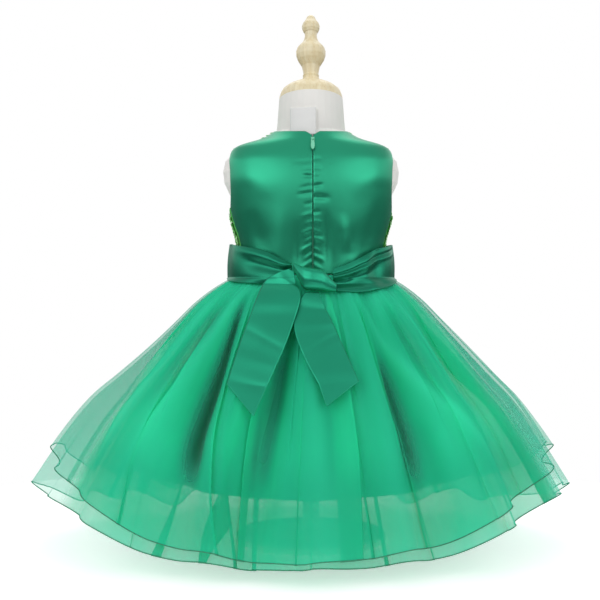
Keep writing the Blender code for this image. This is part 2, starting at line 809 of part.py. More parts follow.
def make_skirt():
    tulle = material("green_tulle", GREEN_TULLE, 0.7)
    count = FLUTES * FLUTE_SAMPLES
    places = [360 * i / count for i in range(count)]
    rows = []
    for share in reversed(TULLE_ROWS):
        row = []
        for place_round in places:
            short = HEM_SHORT(folded_angle(uneven(place_round)))
            row.append(tulle_point(place_round, share - short * share ** 3, 0))
        rows.append(row)
    cloth("skirt_tulle_outer", rows, TULLE, tulle, closed=True)
    rows = []
    for share in reversed(TULLE_ROWS):
        behind = TULLE + SEAM + 0.0001 + LAYER_BEHIND(share)
        rows.append([tulle_point(place_round, share, behind) for place_round in places])
    cloth("skirt_tulle_inner", rows, TULLE, tulle, closed=True)
    make_lining()


def make_lining():
    green = material("green_lining", GREEN_LINING, 0.4)
    rows = []
    for share in (1, 0.62, 0.30, 0.08, 0):
        run = share ** 0.85
        half_width = LINING_WAIST_HALF_WIDTH
        half_width += (LINING_HEM_HALF_WIDTH - LINING_WAIST_HALF_WIDTH) * run
        half_depth = LINING_WAIST_HALF_DEPTH
        half_depth += (LINING_HEM_HALF_DEPTH - LINING_WAIST_HALF_DEPTH) * run
        row = []
        for i in range(LINING_COLUMNS):
            a = 2 * pi * i / LINING_COLUMNS
            flute = LINING_FLUTE_DEPTH * share * cos(LINING_FLUTES * a)
            hem_z = LINING_HEM_Z + LINING_SIDE_RISE * sin(a) ** 2
            x = HEM_SHIFT * 0.4 * run + (half_width + flute) * sin(a)
            y = -(half_depth + flute) * cos(a)
            row.append(Vector((x, y, WAIST_Z - (WAIST_Z - hem_z) * share)))
        rows.append(row)
    cloth("skirt_lining", rows, TULLE, green, closed=True)


# The sash

SASH_CLEAR = 0.0016
TIE_SEAM_ANGLE = 0.35
BAND_ROWS = 5


def skirt_girth(z, angle):
    """The folded skirt's half-width and half-depth at a height near the waist."""
    drop = max(WAIST_Z - z, 0.0) / (WAIST_Z - HEM_Z(angle))
    run = RUN(drop)
    flute = FLUTE_DEPTH(drop)
    half_width = WAIST_HALF_WIDTH + (HEM_HALF_WIDTH - WAIST_HALF_WIDTH) * run + flute
    half_depth = WAIST_HALF_DEPTH + (HEM_HALF_DEPTH - WAIST_HALF_DEPTH) * run + flute
    return half_width + abs(HEM_SHIFT) * run, half_depth


def sash_girth(z, angle):
    """The sash's outer half-width and half-depth at a height, over bodice and skirt."""
    high, low = FRONT_BAND[0].top, FRONT_BAND[0].bottom
    share = min(max((z - low) / (high - low), 0.0), 1.0)
    girth = []
    for top, bottom, skirt in zip(SASH_TOP_GIRTH, SASH_BOTTOM_GIRTH, skirt_girth(z, angle)):
        own = bottom + (top - bottom) * share
        girth.append(max(own, skirt + SASH_CLOTH + SASH_CLEAR))
    return girth


def band_rows(rows_table, first, last, side, columns):
    """Rows up a band, whose middle puffs out between its edges."""
    top = Smooth(rows_table, "top")
    bottom = Smooth(rows_table, "bottom")
    puff = Smooth(rows_table, "puff")
    rows = []
    for i in range(BAND_ROWS + 1):
        share = i / BAND_ROWS
        row = []
        for j in range(columns + 1):
            angle = first + (last - first) * j / columns
            z = bottom(angle) + (top(angle) - bottom(angle)) * share
            half_width, half_depth = sash_girth(z, angle)
            out = puff(angle) * sin(pi * share)
            a = radians(angle)
            x = side * (half_width + out) * sin(a)
            row.append(Vector((x, -(half_depth + out) * cos(a), z)))
        rows.append(row if side > 0 else list(reversed(row)))
    return rows


def make_sash():
    satin = material("green_sash", GREEN_SASH, 0.32)
    for name, table, side in (
        ("sash_back_left", TIE_LEFT, -1),
        ("sash_back_right", TIE_RIGHT, 1),
    ):
        rows = band_rows(table, table[0].angle, table[-1].angle, side, 14)
        cloth(name, rows, SASH_CLOTH, satin)
    rows = front_band_rows()
    cloth("sash_front", rows, SASH_CLOTH, satin)
    tail("sash_tail_left", TAIL_LEFT, TAIL_LEFT_TIP, satin)
    tail("sash_tail_right", TAIL_RIGHT, TAIL_RIGHT_TIP, satin)
    make_knot(satin)


def front_band_rows():
    """The band across the front, from seam to seam, where the ties are sewn on."""
    reach = 180 - TIE_LEFT[-1].angle - TIE_SEAM_ANGLE
    columns = 20
    rows = []
    for i in range(BAND_ROWS + 1):
        share = i / BAND_ROWS
        row = []
        for j in range(columns + 1):
            angle = reach - 2 * reach * j / columns
            top = Smooth(FRONT_BAND, "top")(abs(angle))
            bottom = Smooth(FRONT_BAND, "bottom")(abs(angle))
            z = bottom + (top - bottom) * share
            half_width, half_depth = sash_girth(z, 180 - abs(angle))
            out = FRONT_BAND[0].puff * sin(pi * share)
            a = radians(angle)
            row.append(Vector(((half_width + out) * sin(a), (half_depth + out) * cos(a), z)))
        rows.append(row)
    return rows


def skirt_depth(x, z):
    """How far behind the middle the folded skirt reaches at this place of its back."""
    angle = 0.0
    for _ in range(4):
        drop = max(WAIST_Z - z, 0.0) / (WAIST_Z - HEM_Z(abs(angle)))
        run = RUN(drop)
        half_width = WAIST_HALF_WIDTH + (HEM_HALF_WIDTH - WAIST_HALF_WIDTH) * run
        share = min(max((x - HEM_SHIFT * run) / half_width, -0.95), 0.95)
        angle = atan2(share, sqrt(1 - share * share)) * 180 / pi
    half_depth = WAIST_HALF_DEPTH + (HEM_HALF_DEPTH - WAIST_HALF_DEPTH) * run
    return half_depth * sqrt(1 - share * share) + 1.3 * FLUTE_DEPTH(drop)


def support_depth(x, z):
    """The depth of what a tail lies on: the skirt, and above its top the sash."""
    deepest = skirt_depth(x, z)
    if z > TIE_RIGHT[1].bottom:
        half_width, half_depth = sash_girth(z, 0)
        tied = (half_depth + TIE_LEFT[1].puff) * sqrt(1 - (x / half_width) ** 2)
        deepest = max(deepest, tied)
    return deepest


def tail(name, table, tip, finish):
    """A flat end of the sash, cut to a point, that lies on the skirt."""
    rows = []
    columns = 4
    stations = table + [tip]
    for i, here in enumerate(stations):
        before = stations[max(i - 1, 0)]
        after = stations[min(i + 1, len(stations) - 1)]
        if here is tip:
            before, after = stations[-3], stations[-2]
        dx, dz = after.x - before.x, after.z - before.z
        length = hypot(dx, dz)
        across = (-dz / length, dx / length)
        row = []
        for j in range(columns + 1):
            reach = -here.left + (here.left + here.right) * j / columns
            x = here.x + across[0] * reach
            z = here.z + across[1] * reach
            row.append(Vector((x, -support_depth(x, z) - here.stand_off, z)))
        rows.append(row)
    cloth(name, list(reversed(rows)), SASH_CLOTH, finish)


def make_knot(finish):
    """A twisted roll of the sash: a hollow wall that is open at both ends."""
    rings = []
    for i, roll in enumerate(KNOT):
        twist = 0.5 * pi * i / len(KNOT)
        ring = []
        for j in range(KNOT_SIDES):
            angle = 2 * pi * j / KNOT_SIDES
            crease = 1 - 0.10 * cos(2 * (angle + twist)) ** 4
            y = roll.y - roll.half_depth * crease * cos(angle)
            z = roll.z + roll.half_height * crease * sin(angle)
            ring.append(Vector((roll.x, y, z)))
        rings.append(ring)
    cloth("sash_knot", rings, SASH_CLOTH, finish, closed=True)


# The label


def make_label():
    """A strip that stands behind the back neck edge and follows the neck round."""
    white = material("white_label", WHITE, 0.7)
    rows = []
    columns = 8
    for share in (0, 0.5, 1):
        row = []
        for j in range(columns + 1):
            x = LABEL_LEFT + (LABEL_RIGHT - LABEL_LEFT) * j / columns
            edge_z = NECK_Z - BACK_NECK_DROP * (1 - (x / BODICE_WIDTH(NECK_Z)) ** 2)
            depth = BODICE_DEPTH(edge_z) - LABEL_INSIDE - LABEL_LEAN * share
            y = -depth * sqrt(1 - (x / BODICE_WIDTH(edge_z)) ** 2)
            bottom = edge_z - LABEL_TUCK
            row.append(Vector((x, y, bottom + (LABEL_TOP_Z - bottom) * share)))
        rows.append(row)
    cloth("neck_label", rows, LABEL_CLOTH, white)


for thing in list(bpy.data.objects):
    bpy.data.objects.remove(thing)
DRESS = bpy.data.collections.new("princess_dress")
CUTTERS = bpy.data.collections.new("cutters")
for made in (DRESS, CUTTERS):
    bpy.context.scene.collection.children.link(made)

make_form()
make_bodice()
make_zip()
make_skirt()
make_sash()
make_label()
bpy.context.view_layer.update()
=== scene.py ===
"""The looks of the princess dress on its form: fine cloth shells, net, satin, sequins and wood.

Everything is in metres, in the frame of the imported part: +X is the wearer's right, +Y the front
of the dress, +Z up. A share or drop runs down the skirt from 0 at the waist to 1 at the long hem,
and an angle is in degrees from the centre of the back towards +X.
"""

import random
from collections import namedtuple
from math import atan2, cos, degrees, hypot, pi, sin, sqrt

import bpy
import numpy as np
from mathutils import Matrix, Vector


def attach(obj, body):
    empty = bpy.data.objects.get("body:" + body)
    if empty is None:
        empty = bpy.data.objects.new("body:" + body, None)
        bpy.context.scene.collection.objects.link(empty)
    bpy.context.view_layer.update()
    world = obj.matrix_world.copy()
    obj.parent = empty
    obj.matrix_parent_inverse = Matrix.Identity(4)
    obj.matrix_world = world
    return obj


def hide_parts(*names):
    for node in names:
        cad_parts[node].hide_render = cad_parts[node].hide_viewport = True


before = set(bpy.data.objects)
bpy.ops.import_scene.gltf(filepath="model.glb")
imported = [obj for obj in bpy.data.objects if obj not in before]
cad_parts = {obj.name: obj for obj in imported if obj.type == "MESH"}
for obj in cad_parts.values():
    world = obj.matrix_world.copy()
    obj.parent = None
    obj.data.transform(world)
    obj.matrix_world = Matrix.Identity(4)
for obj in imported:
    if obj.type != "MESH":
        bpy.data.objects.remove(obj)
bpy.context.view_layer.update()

DRESS = "dress_on_form"


def listed(kind, *rows):
    """A table: a row of this kind for each tuple of values."""
    return [kind(*row) for row in rows]


def between(first, last, share):
    """The value that lies this share of the way from the first to the last."""
    return first + (last - first) * share


# Sizes of the solids, repeated from the part's source
WAIST_Z = 0.352
NECK_Z = 0.5445
SHOULDER_TIP_Z = 0.5208
BODICE_BOTTOM_Z = 0.3528

Section = namedtuple("Section", "z half_width half_depth squareness")
BODICE = listed(
    Section,
    (0.3500, 0.0960, 0.0765, 2.25),
    (0.3750, 0.0962, 0.0770, 2.25),
    (0.4000, 0.0985, 0.0780, 2.30),
    (0.4200, 0.1040, 0.0795, 2.35),
    (0.4400, 0.1080, 0.0805, 2.40),
    (0.4600, 0.1102, 0.0805, 2.50),
    (0.4800, 0.1114, 0.0790, 2.60),
    (0.5000, 0.1115, 0.0750, 2.60),
    (0.5120, 0.1085, 0.0692, 2.50),
    (0.5208, 0.1030, 0.0638, 2.40),
    (0.5262, 0.0925, 0.0605, 2.30),
    (0.5286, 0.0785, 0.0590, 2.20),
    (0.5333, 0.0655, 0.0561, 2.10),
    (0.5389, 0.0560, 0.0527, 2.05),
    (0.5445, 0.0475, 0.0495, 2.00),
)
ARMHOLE_HALF_WIDTH = 0.0360
ARMHOLE_BOTTOM_Z = 0.4320
FRONT_NECK_DROP = 0.0300
BACK_NECK_DROP = 0.0072
NOTCH_DEPTH = 0.0060
NOTCH_HALF_WIDTH = 0.0090
PANEL_GAP = 0.0008
ZIP_X = 0.0016
HALF_SLIT = 0.0008
CHAIN_BOTTOM_Z = 0.3530
CHAIN_TOP_Z = 0.5300

WAIST_HALF_WIDTH = 0.0988
WAIST_HALF_DEPTH = 0.0788
HEM_HALF_WIDTH = 0.3550
HEM_HALF_DEPTH = 0.2660
HEM_SHIFT = -0.0120
Flare = namedtuple("Flare", "drop run")
FLARE = listed(
    Flare,
    (0.000, 0.000),
    (0.020, 0.050),
    (0.115, 0.195),
    (0.216, 0.308),
    (0.351, 0.455),
    (0.480, 0.591),
    (0.587, 0.704),
    (0.744, 0.828),
    (1.000, 1.000),
)
Hem = namedtuple("Hem", "angle z short")
HEMS = listed(
    Hem,
    (0, 0.024, 0.012),
    (30, 0.036, 0.040),
    (45, 0.058, 0.065),
    (60, 0.080, 0.090),
    (75, 0.086, 0.150),
    (90, 0.080, 0.185),
    (105, 0.058, 0.150),
    (135, 0.036, 0.070),
    (180, 0.022, 0.030),
)
FLUTES = 18
Layer = namedtuple("Layer", "drop flute behind")
LAYERS = listed(
    Layer,
    (0.00, 0.0005, 0.0004),
    (0.02, 0.0010, 0.0008),
    (0.08, 0.0022, 0.0018),
    (0.20, 0.0042, 0.0046),
    (0.50, 0.0095, 0.0080),
    (1.00, 0.0170, 0.0075),
)
SIDE_FLUTES = 0.35
LEFT_DRAW = 0.0060
TULLE_WALL = 0.0015
Fold = namedtuple("Fold", "waist_angle hem_angle depth half_angle")
FOLDS = listed(
    Fold,
    (-64, -60, 0.012, 5.0),
    (-37, -23, 0.023, 4.6),
    (-8, -12, 0.020, 3.8),
    (6, 7, 0.012, 3.0),
    (29, 24, 0.022, 4.4),
    (56, 52, 0.014, 4.6),
    (78, 74, 0.012, 5.0),
    (121, 116, 0.018, 5.0),
    (152, 150, 0.020, 4.6),
    (-176, -177, 0.016, 4.4),
    (-148, -143, 0.021, 4.8),
    (-116, -110, 0.014, 5.0),
)
LINING_WAIST = (0.0942, 0.0745)
LINING_HEM = (0.2230, 0.1820)
LINING_HEM_Z = 0.0850
LINING_SIDE_RISE = 0.0180
LINING_FLUTES = 12
LINING_FLUTE_DEPTH = 0.0050

Band = namedtuple("Band", "angle top bottom puff")
TIE_LEFT = listed(
    Band,
    (12.5, 0.3660, 0.3560, 0.0045),
    (19.0, 0.3715, 0.3440, 0.0040),
    (30.0, 0.3817, 0.3405, 0.0040),
    (42.0, 0.3868, 0.3415, 0.0030),
    (60.0, 0.3910, 0.3445, 0.0020),
    (78.0, 0.3935, 0.3480, 0.0015),
    (97.0, 0.3940, 0.3490, 0.0010),
)
TIE_RIGHT = listed(
    Band,
    (13.0, 0.3590, 0.3315, 0.0030),
    (24.0, 0.3665, 0.3300, 0.0040),
    (36.0, 0.3770, 0.3325, 0.0040),
    (46.0, 0.3845, 0.3365, 0.0030),
    (62.0, 0.3895, 0.3425, 0.0020),
    (80.0, 0.3925, 0.3480, 0.0015),
    (97.0, 0.3940, 0.3490, 0.0010),
)
FRONT_BAND = listed(
    Band,
    (0.0, 0.3920, 0.3470, 0.0010),
    (45.0, 0.3930, 0.3480, 0.0010),
    (82.0, 0.3940, 0.3490, 0.0010),
)
SASH_TOP_GIRTH = (0.1085, 0.0835)
SASH_BOTTOM_GIRTH = (0.1112, 0.0985)
SASH_CLOTH = 0.0016
SASH_CLEAR = 0.0016
Tail = namedtuple("Tail", "x z left right stand_off")
TAIL_LEFT = listed(
    Tail,
    (-0.0250, 0.3570, 0.0040, 0.0030, 0.0045),
    (-0.0305, 0.3460, 0.0160, 0.0120, 0.0055),
    (-0.0370, 0.3310, 0.0255, 0.0245, 0.0080),
    (-0.0534, 0.2851, 0.0265, 0.0265, 0.0065),
    (-0.0657, 0.2528, 0.0252, 0.0252, 0.0030),
    (-0.0774, 0.2198, 0.0239, 0.0239, 0.0009),
)
TAIL_LEFT_TIP = Tail(-0.0688, 0.1873, 0.0010, 0.0010, 0.0009)
TAIL_RIGHT = listed(
    Tail,
    (0.0005, 0.3294, 0.0080, 0.0080, 0.0045),
    (0.0000, 0.3140, 0.0180, 0.0140, 0.0038),
    (0.0010, 0.2935, 0.0240, 0.0220, 0.0026),
    (0.0120, 0.2628, 0.0240, 0.0240, 0.0016),
    (0.0312, 0.2228, 0.0236, 0.0236, 0.0010),
)
TAIL_RIGHT_TIP = Tail(0.0169, 0.1981, 0.0010, 0.0010, 0.0010)
Roll = namedtuple("Roll", "x y z half_height half_depth")
KNOT = listed(
    Roll,
    (-0.0220, -0.1005, 0.3625, 0.0030, 0.0026),
    (-0.0150, -0.1080, 0.3530, 0.0085, 0.0062),
    (-0.0080, -0.1130, 0.3465, 0.0130, 0.0085),
    (0.0015, -0.1150, 0.3455, 0.0125, 0.0090),
    (0.0125, -0.1140, 0.3440, 0.0118, 0.0085),
    (0.0220, -0.1115, 0.3390, 0.0078, 0.0055),
    (0.0300, -0.1085, 0.3350, 0.0040, 0.0030),
)
LABEL_LEFT = -0.0275
LABEL_RIGHT = 0.0062
LABEL_TOP_Z = 0.5690
LABEL_TUCK = 0.0040
LABEL_INSIDE = 0.0023
LABEL_LEAN = 0.0035
LABEL_CURL = 0.0010
LABEL_CURL_LENGTH = 0.0346

# How thick the drawn shells are: the sash, the bodice, the lining and label, and the zip's tape
SASH_SHELL = 0.0010
BODICE_SHELL = 0.0008
THIN_SHELL = 0.0006
TAPE_SHELL = 0.0004
HEM_THREAD = 0.0007
# How finely pieces are drawn: columns round or across, and rows up
NET_GRID = (1400, 60)
LINING_GRID = (288, 40)
BACK_GRID = (84, 120)
FRONT_GRID = (48, 60)
TIE_GRID = (120, 48)
BAND_GRID = (140, 30)
TAIL_LEFT_GRID = (30, 110)
TAIL_RIGHT_GRID = (30, 90)
KNOT_GRID = (72, 60)
LABEL_GRID = (24, 24)

# The camera: level with the skirt's top, straight behind the dress
CAMERA_X = -0.0146
CAMERA_Z = 0.32
CAMERA_DISTANCE = 1.5
FRAME_AT_DRESS = 0.8


class Curve:
    """A curve through values at rising keys, which never overshoots them."""

    def __init__(self, keys, values):
        self.keys = np.array(keys, float)
        self.values = np.array(values, float)
        rises = np.diff(self.values) / np.diff(self.keys)
        slopes = [rises[0]]
        for before, after in zip(rises, rises[1:]):
            same_way = before * after > 0
            slopes.append(2 * before * after / (before + after) if same_way else 0.0)
        self.slopes = np.array(slopes + [rises[-1]])

    def __call__(self, key):
        key = np.clip(key, self.keys[0], self.keys[-1])
        i = np.clip(np.searchsorted(self.keys, key, side="right") - 1, 0, len(self.keys) - 2)
        span = self.keys[i + 1] - self.keys[i]
        s = (key - self.keys[i]) / span
        step = s * s * (3 - 2 * s)
        return (
            self.values[i] * (1 - step)
            + self.values[i + 1] * step
            + self.slopes[i] * span * s * (1 - s) ** 2
            - self.slopes[i + 1] * span * s * s * (1 - s)
        )


def smooth(rows, column):
    """The curve of one column of a table by its first."""
    return Curve([row[0] for row in rows], [getattr(row, column) for row in rows])


def ease(low, high, value):
    """0 below low, 1 above high, and a soft step between."""
    s = np.clip((value - low) / (high - low), 0.0, 1.0)
    return s * s * (3 - 2 * s)


def bump(value, centre, half_width):
    """A soft hill, 1 at its centre."""
    return np.exp(-(((value - centre) / half_width) ** 2))


def spread(across, up):
    """Two grids of the values across and the values up."""
    return np.broadcast_arrays(across[None, :], up[:, None])


# Meshes


def put(name, mesh, finish):
    """Makes a piece that rides with the dress."""
    piece = bpy.data.objects.new(name, mesh)
    bpy.context.scene.collection.objects.link(piece)
    mesh.materials.append(finish)
    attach(piece, DRESS)
    return piece


def sheet_mesh(name, grid, closed=False):
    """A smooth sheet through a grid of points, rows by columns by 3, with a UV in metres."""
    rows, columns = grid.shape[:2]
    index = np.arange(rows * columns).reshape(rows, columns)
    right = np.roll(index, -1, axis=1)
    if not closed:
        index, right = index[:, :-1], right[:, :-1]
    faces = np.stack([index[:-1], right[:-1], right[1:], index[1:]], axis=-1).reshape(-1, 4)
    mesh = bpy.data.meshes.new(name)
    mesh.from_pydata(grid.reshape(-1, 3).tolist(), [], faces.tolist())
    mesh.shade_smooth()
    layer = mesh.uv_layers.new(name="cloth")
    across = np.arange(columns + 1) / columns
    up = np.arange(rows) / rows
    wide = np.linalg.norm(np.diff(grid, axis=1), axis=2).sum(axis=1).mean()
    tall = np.linalg.norm(np.diff(grid, axis=0), axis=2).sum(axis=0).mean()
    count = faces.shape[0] // (rows - 1)
    j = np.tile(np.arange(count), rows - 1)
    i = np.repeat(np.arange(rows - 1), count)
    corners = [(i, j), (i, j + 1), (i + 1, j + 1), (i + 1, j)]
    uv = np.stack([np.stack([across[c] * wide, up[r] * tall], -1) for r, c in corners], axis=1)
    layer.data.foreach_set("uv", uv.reshape(-1).astype(np.float32))
    return mesh


def add_layer(mesh, name, values):
    """Keeps a value at each point of the net, for its material to read."""
    layer = mesh.attributes.new(name, "FLOAT", "POINT")
    layer.data.foreach_set("value", values.reshape(-1).astype(np.float32))


def cloth(name, grid, thickness, finish, node, closed=False):
    """A thin wall of cloth inwards of a grid that turns from -Y to +X and runs up."""
    piece = put(name, sheet_mesh(name, grid, closed), finish)
    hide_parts(node)
    if thickness:
        wall = piece.modifiers.new("Wall", "SOLIDIFY")
        wall.thickness = thickness
        wall.offset = -1
    return piece


def tube_mesh(name, path, radius, closed, sides=5):
    """A thin round thread along a path of points."""
    path = np.asarray(path, float)
    ahead = np.roll(path, -1, axis=0) - np.roll(path, 1, axis=0)
    if not closed:
        ahead[0] = path[1] - path[0]
        ahead[-1] = path[-1] - path[-2]
    ahead /= np.linalg.norm(ahead, axis=1, keepdims=True) + 1e-12
    up = np.tile([0.0, 0.0, 1.0], (len(path), 1))
    side = np.cross(ahead, up)
    side /= np.linalg.norm(side, axis=1, keepdims=True) + 1e-12
    top = np.cross(side, ahead)
    turn = 2 * pi * np.arange(sides) / sides
    ring = np.cos(turn)[None, :, None] * side[:, None] + np.sin(turn)[None, :, None] * top[:, None]
    grid = path[:, None] + ring * radius
    if closed:
        grid = np.concatenate([grid, grid[:1]])
    return sheet_mesh(name, grid, closed=True)


# Materials


def shader(name, colour, roughness, **more):
    """A new material's Principled node, its tree and itself."""
    made = bpy.data.materials.new(name)
    made.use_nodes = True
    tree = made.node_tree
    main = tree.nodes["Principled BSDF"]
    main.inputs["Base Color"].default_value = (*colour, 1)
    main.inputs["Roughness"].default_value = roughness
    for socket, value in more.items():
        main.inputs[socket.replace("_", " ")].default_value = value
    return made, tree, main


def node(tree, kind, **settings):
    """A new shader node, its inputs and its settings by name, with _ for a space."""
    made = tree.nodes.new("ShaderNode" + kind)
    for key, value in settings.items():
        entry = key.replace("_", " ")
        if entry in made.inputs:
            made.inputs[entry].default_value = value
        else:
            setattr(made, key, value)
    return made


def feed(source, output, target, into):
    """Links an output of one node to an input of another."""
    source.id_data.links.new(source.outputs[output], target.inputs[into])


def ramp(tree, *stops):
    """A colour ramp through stops of (position, colour), which rise."""
    made = node(tree, "ValToRGB")
    elements = made.color_ramp.elements
    for element, (position, colour) in zip(elements, stops):
        element.position = position
        element.color = (*colour, 1)
    for position, colour in stops[2:]:
        elements.new(position).color = (*colour, 1)
    return made


def noise_over(tree, space, stretch=None, **settings):
    """Soft noise in the object's own metres or in the cloth's UV, drawn out if asked."""
    where, out = node(tree, "TexCoord"), space
    if stretch:
        scaled = node(tree, "Mapping", Scale=stretch)
        feed(where, out, scaled, "Vector")
        where, out = scaled, "Vector"
    noise = node(tree, "TexNoise", **settings)
    feed(where, out, noise, "Vector")
    return noise


def mottled(tree, main, colour, scale, spread):
    """Varies the base colour softly over the surface."""
    noise = noise_over(tree, "Object", Scale=scale, Detail=4.0)
    darker = [c * (1 - spread) for c in colour]
    lighter = [min(c * (1 + spread), 1) for c in colour]
    tint = ramp(tree, (0.3, darker), (0.7, lighter))
    feed(noise, "Fac", tint, "Fac")
    feed(tint, "Color", main, "Base Color")


def speckled(name, colour, roughness, scale, spread, **more):
    """A new material that is softly mottled, with its tree and its Principled node."""
    made, tree, main = shader(name, colour, roughness, **more)
    mottled(tree, main, colour, scale, spread)
    return made, tree, main


# Turns the threads' spacing into a wave texture's scale, which repeats about every two threads
WAVE_TURN = 6.2832


def woven(tree, main, pitch, strength, distance):
    """A fine over-and-under weave in the cloth's own UV, which is in metres."""
    where = node(tree, "TexCoord")
    both = node(tree, "Math", operation="ADD")
    for entry, direction in enumerate(("X", "Y")):
        wave = node(tree, "TexWave", Scale=1 / (pitch * WAVE_TURN), bands_direction=direction)
        feed(where, "UV", wave, "Vector")
        feed(wave, "Fac", both, entry)
    relief = node(tree, "Bump", Strength=strength, Distance=distance)
    feed(both, 0, relief, "Height")
    feed(relief, "Normal", main, "Normal")


def satin(name, colour, roughness):
    """Satin: a soft sheen with a fine weave."""
    made, tree, main = speckled(
        name,
        colour,
        roughness,
        9.0,
        0.06,
        Metallic=0.78,
        Specular_IOR_Level=0.25,
        Anisotropic=0.25,
        Sheen_Weight=0.02,
        Sheen_Roughness=0.4,
        Sheen_Tint=(0.45, 1.0, 0.75, 1.0),
    )
    woven(tree, main, 0.0006, 0.10, 0.0001)
    return made


def tulle(name, thin_colour, colour, crowded_colour):
    """Sheer net: part of the light goes straight on, the rest is scattered both ways.

    The mesh says how much it covers, and fine streaks down the cloth vary that. Where it hangs
    single it looks greyer than where its gathered threads crowd together. The mesh's shade value
    darkens the colour: painted shade on the gathered net below the lining.
    """
    made = bpy.data.materials.new(name)
    made.use_nodes = True
    tree = made.node_tree
    tree.nodes.remove(tree.nodes["Principled BSDF"])
    out = tree.nodes["Material Output"]
    clear = node(tree, "BsdfTransparent", Color=(1, 1, 1, 1))
    thrown = node(tree, "BsdfDiffuse")
    through = node(tree, "BsdfTranslucent")
    stops = (THIN_COVER, thin_colour), (0.9 * FULL_COVER, colour), (CROWDED_COVER, crowded_colour)
    tint = ramp(tree, *stops)
    # The mesh's shade value darkens the colour: painted shade below the lining
    shaded = node(tree, "VectorMath", operation="SCALE")
    shade = node(tree, "Attribute", attribute_name="shade")
    lit = node(tree, "Math", operation="SUBTRACT", Value=1.0)
    thread = node(tree, "MixShader", Fac=0.5)
    both = node(tree, "MixShader")
    cover = node(tree, "Attribute", attribute_name="cover")
    drawn = noise_over(tree, "UV", (60, 1.2, 1), Scale=1.0, Detail=3.0, Roughness=0.55)
    vary = node(tree, "MapRange", From_Min=0.3, From_Max=0.7, To_Min=0.93, To_Max=1.07)
    amount = node(tree, "Math", operation="MULTIPLY")
    feed(drawn, "Fac", vary, "Value")
    feed(cover, "Fac", amount, 0)
    feed(cover, "Fac", tint, "Fac")
    feed(shade, "Fac", lit, 1)
    feed(tint, "Color", shaded, 0)
    feed(lit, 0, shaded, "Scale")
    feed(shaded, 0, thrown, "Color")
    feed(shaded, 0, through, "Color")
    feed(vary, "Result", amount, 1)
    feed(amount, 0, both, 0)
    feed(thrown, 0, thread, 1)
    feed(through, 0, thread, 2)
    feed(clear, 0, both, 1)
    feed(thread, 0, both, 2)
    feed(both, 0, out, "Surface")
    made.diffuse_color = (*colour, 1)
    return made


# The skirt

RUN = smooth(FLARE, "run")
HEM_Z = smooth(HEMS, "z")
HEM_SHORT = smooth(HEMS, "short")
FLUTE_DEPTH = smooth(LAYERS, "flute")
LAYER_BEHIND = smooth(LAYERS, "behind")


def from_back(angle):
    """Angles in degrees as their size from the back, 0 to 180."""
    turned_by = np.abs(angle) % 360
    return np.where(turned_by > 180, 360 - turned_by, turned_by)


def skirt_radii(run):
    """The smooth skirt's half-width and half-depth."""
    half_width = between(WAIST_HALF_WIDTH, HEM_HALF_WIDTH, run)
    return half_width, between(WAIST_HALF_DEPTH, HEM_HALF_DEPTH, run)


def off_line(line, angle, drop, shift=0.0):
    """How many degrees each place lies off a fold, crease or streak down the skirt."""
    centre = between(line.waist_angle, line.hem_angle, drop) + shift
    return (angle - centre + 180) % 360 - 180


def skirt_base(angle, drop):
    """The smooth skirt, without folds."""
    run = RUN(drop)
    a = np.radians(angle)
    half_width, half_depth = skirt_radii(run)
    z = WAIST_Z - (WAIST_Z - HEM_Z(from_back(angle))) * drop
    return np.stack([HEM_SHIFT * run + half_width * np.sin(a), -half_depth * np.cos(a), z], -1)


def skirt_out(angle, drop):
    """The way out of the smooth skirt, square to it."""
    low = np.clip(drop, 0.015, 0.98)
    round_it = skirt_base(angle + 0.5, low) - skirt_base(angle - 0.5, low)
    up_it = skirt_base(angle, low - 0.015) - skirt_base(angle, low + 0.015)
    out = np.cross(round_it, up_it)
    return out / np.linalg.norm(out, axis=-1, keepdims=True)


def uneven(place_round):
    """Where round the skirt a place of the cloth hangs: its flutes are not evenly spread."""
    a = np.radians(place_round)
    return place_round + 3.2 * np.sin(2 * a + 0.6) + 2.6 * np.sin(5 * a + 1.9)


def side_share(angle):
    """How much of its depth a flute keeps, and of its gap the inner layer: less at the sides."""
    return between(SIDE_FLUTES, 1, ease(8, 34, np.abs(from_back(angle) - 90)))


def fold_offset(place_round, angle, drop):
    """How far the folded cloth stands out of the smooth skirt, less fluted at the sides."""
    a = np.radians(place_round)
    strength = 0.82 + 0.18 * np.sin(3 * a + 0.8) * np.sin(7 * a)
    offset = FLUTE_DEPTH(drop) * strength * side_share(angle) * np.cos(FLUTES * a)
    offset = offset - LEFT_DRAW * bump(angle, -90, 36) * bump(drop, 0.34, 0.22)
    for fold in FOLDS:
        away = off_line(fold, angle, drop)
        near = np.abs(away) < 2 * fold.half_angle
        trough = np.where(near, np.cos(0.25 * pi * away / fold.half_angle) ** 2, 0.0)
        offset = offset - fold.depth * ease(0.04, 0.45, drop) * trough
    return offset
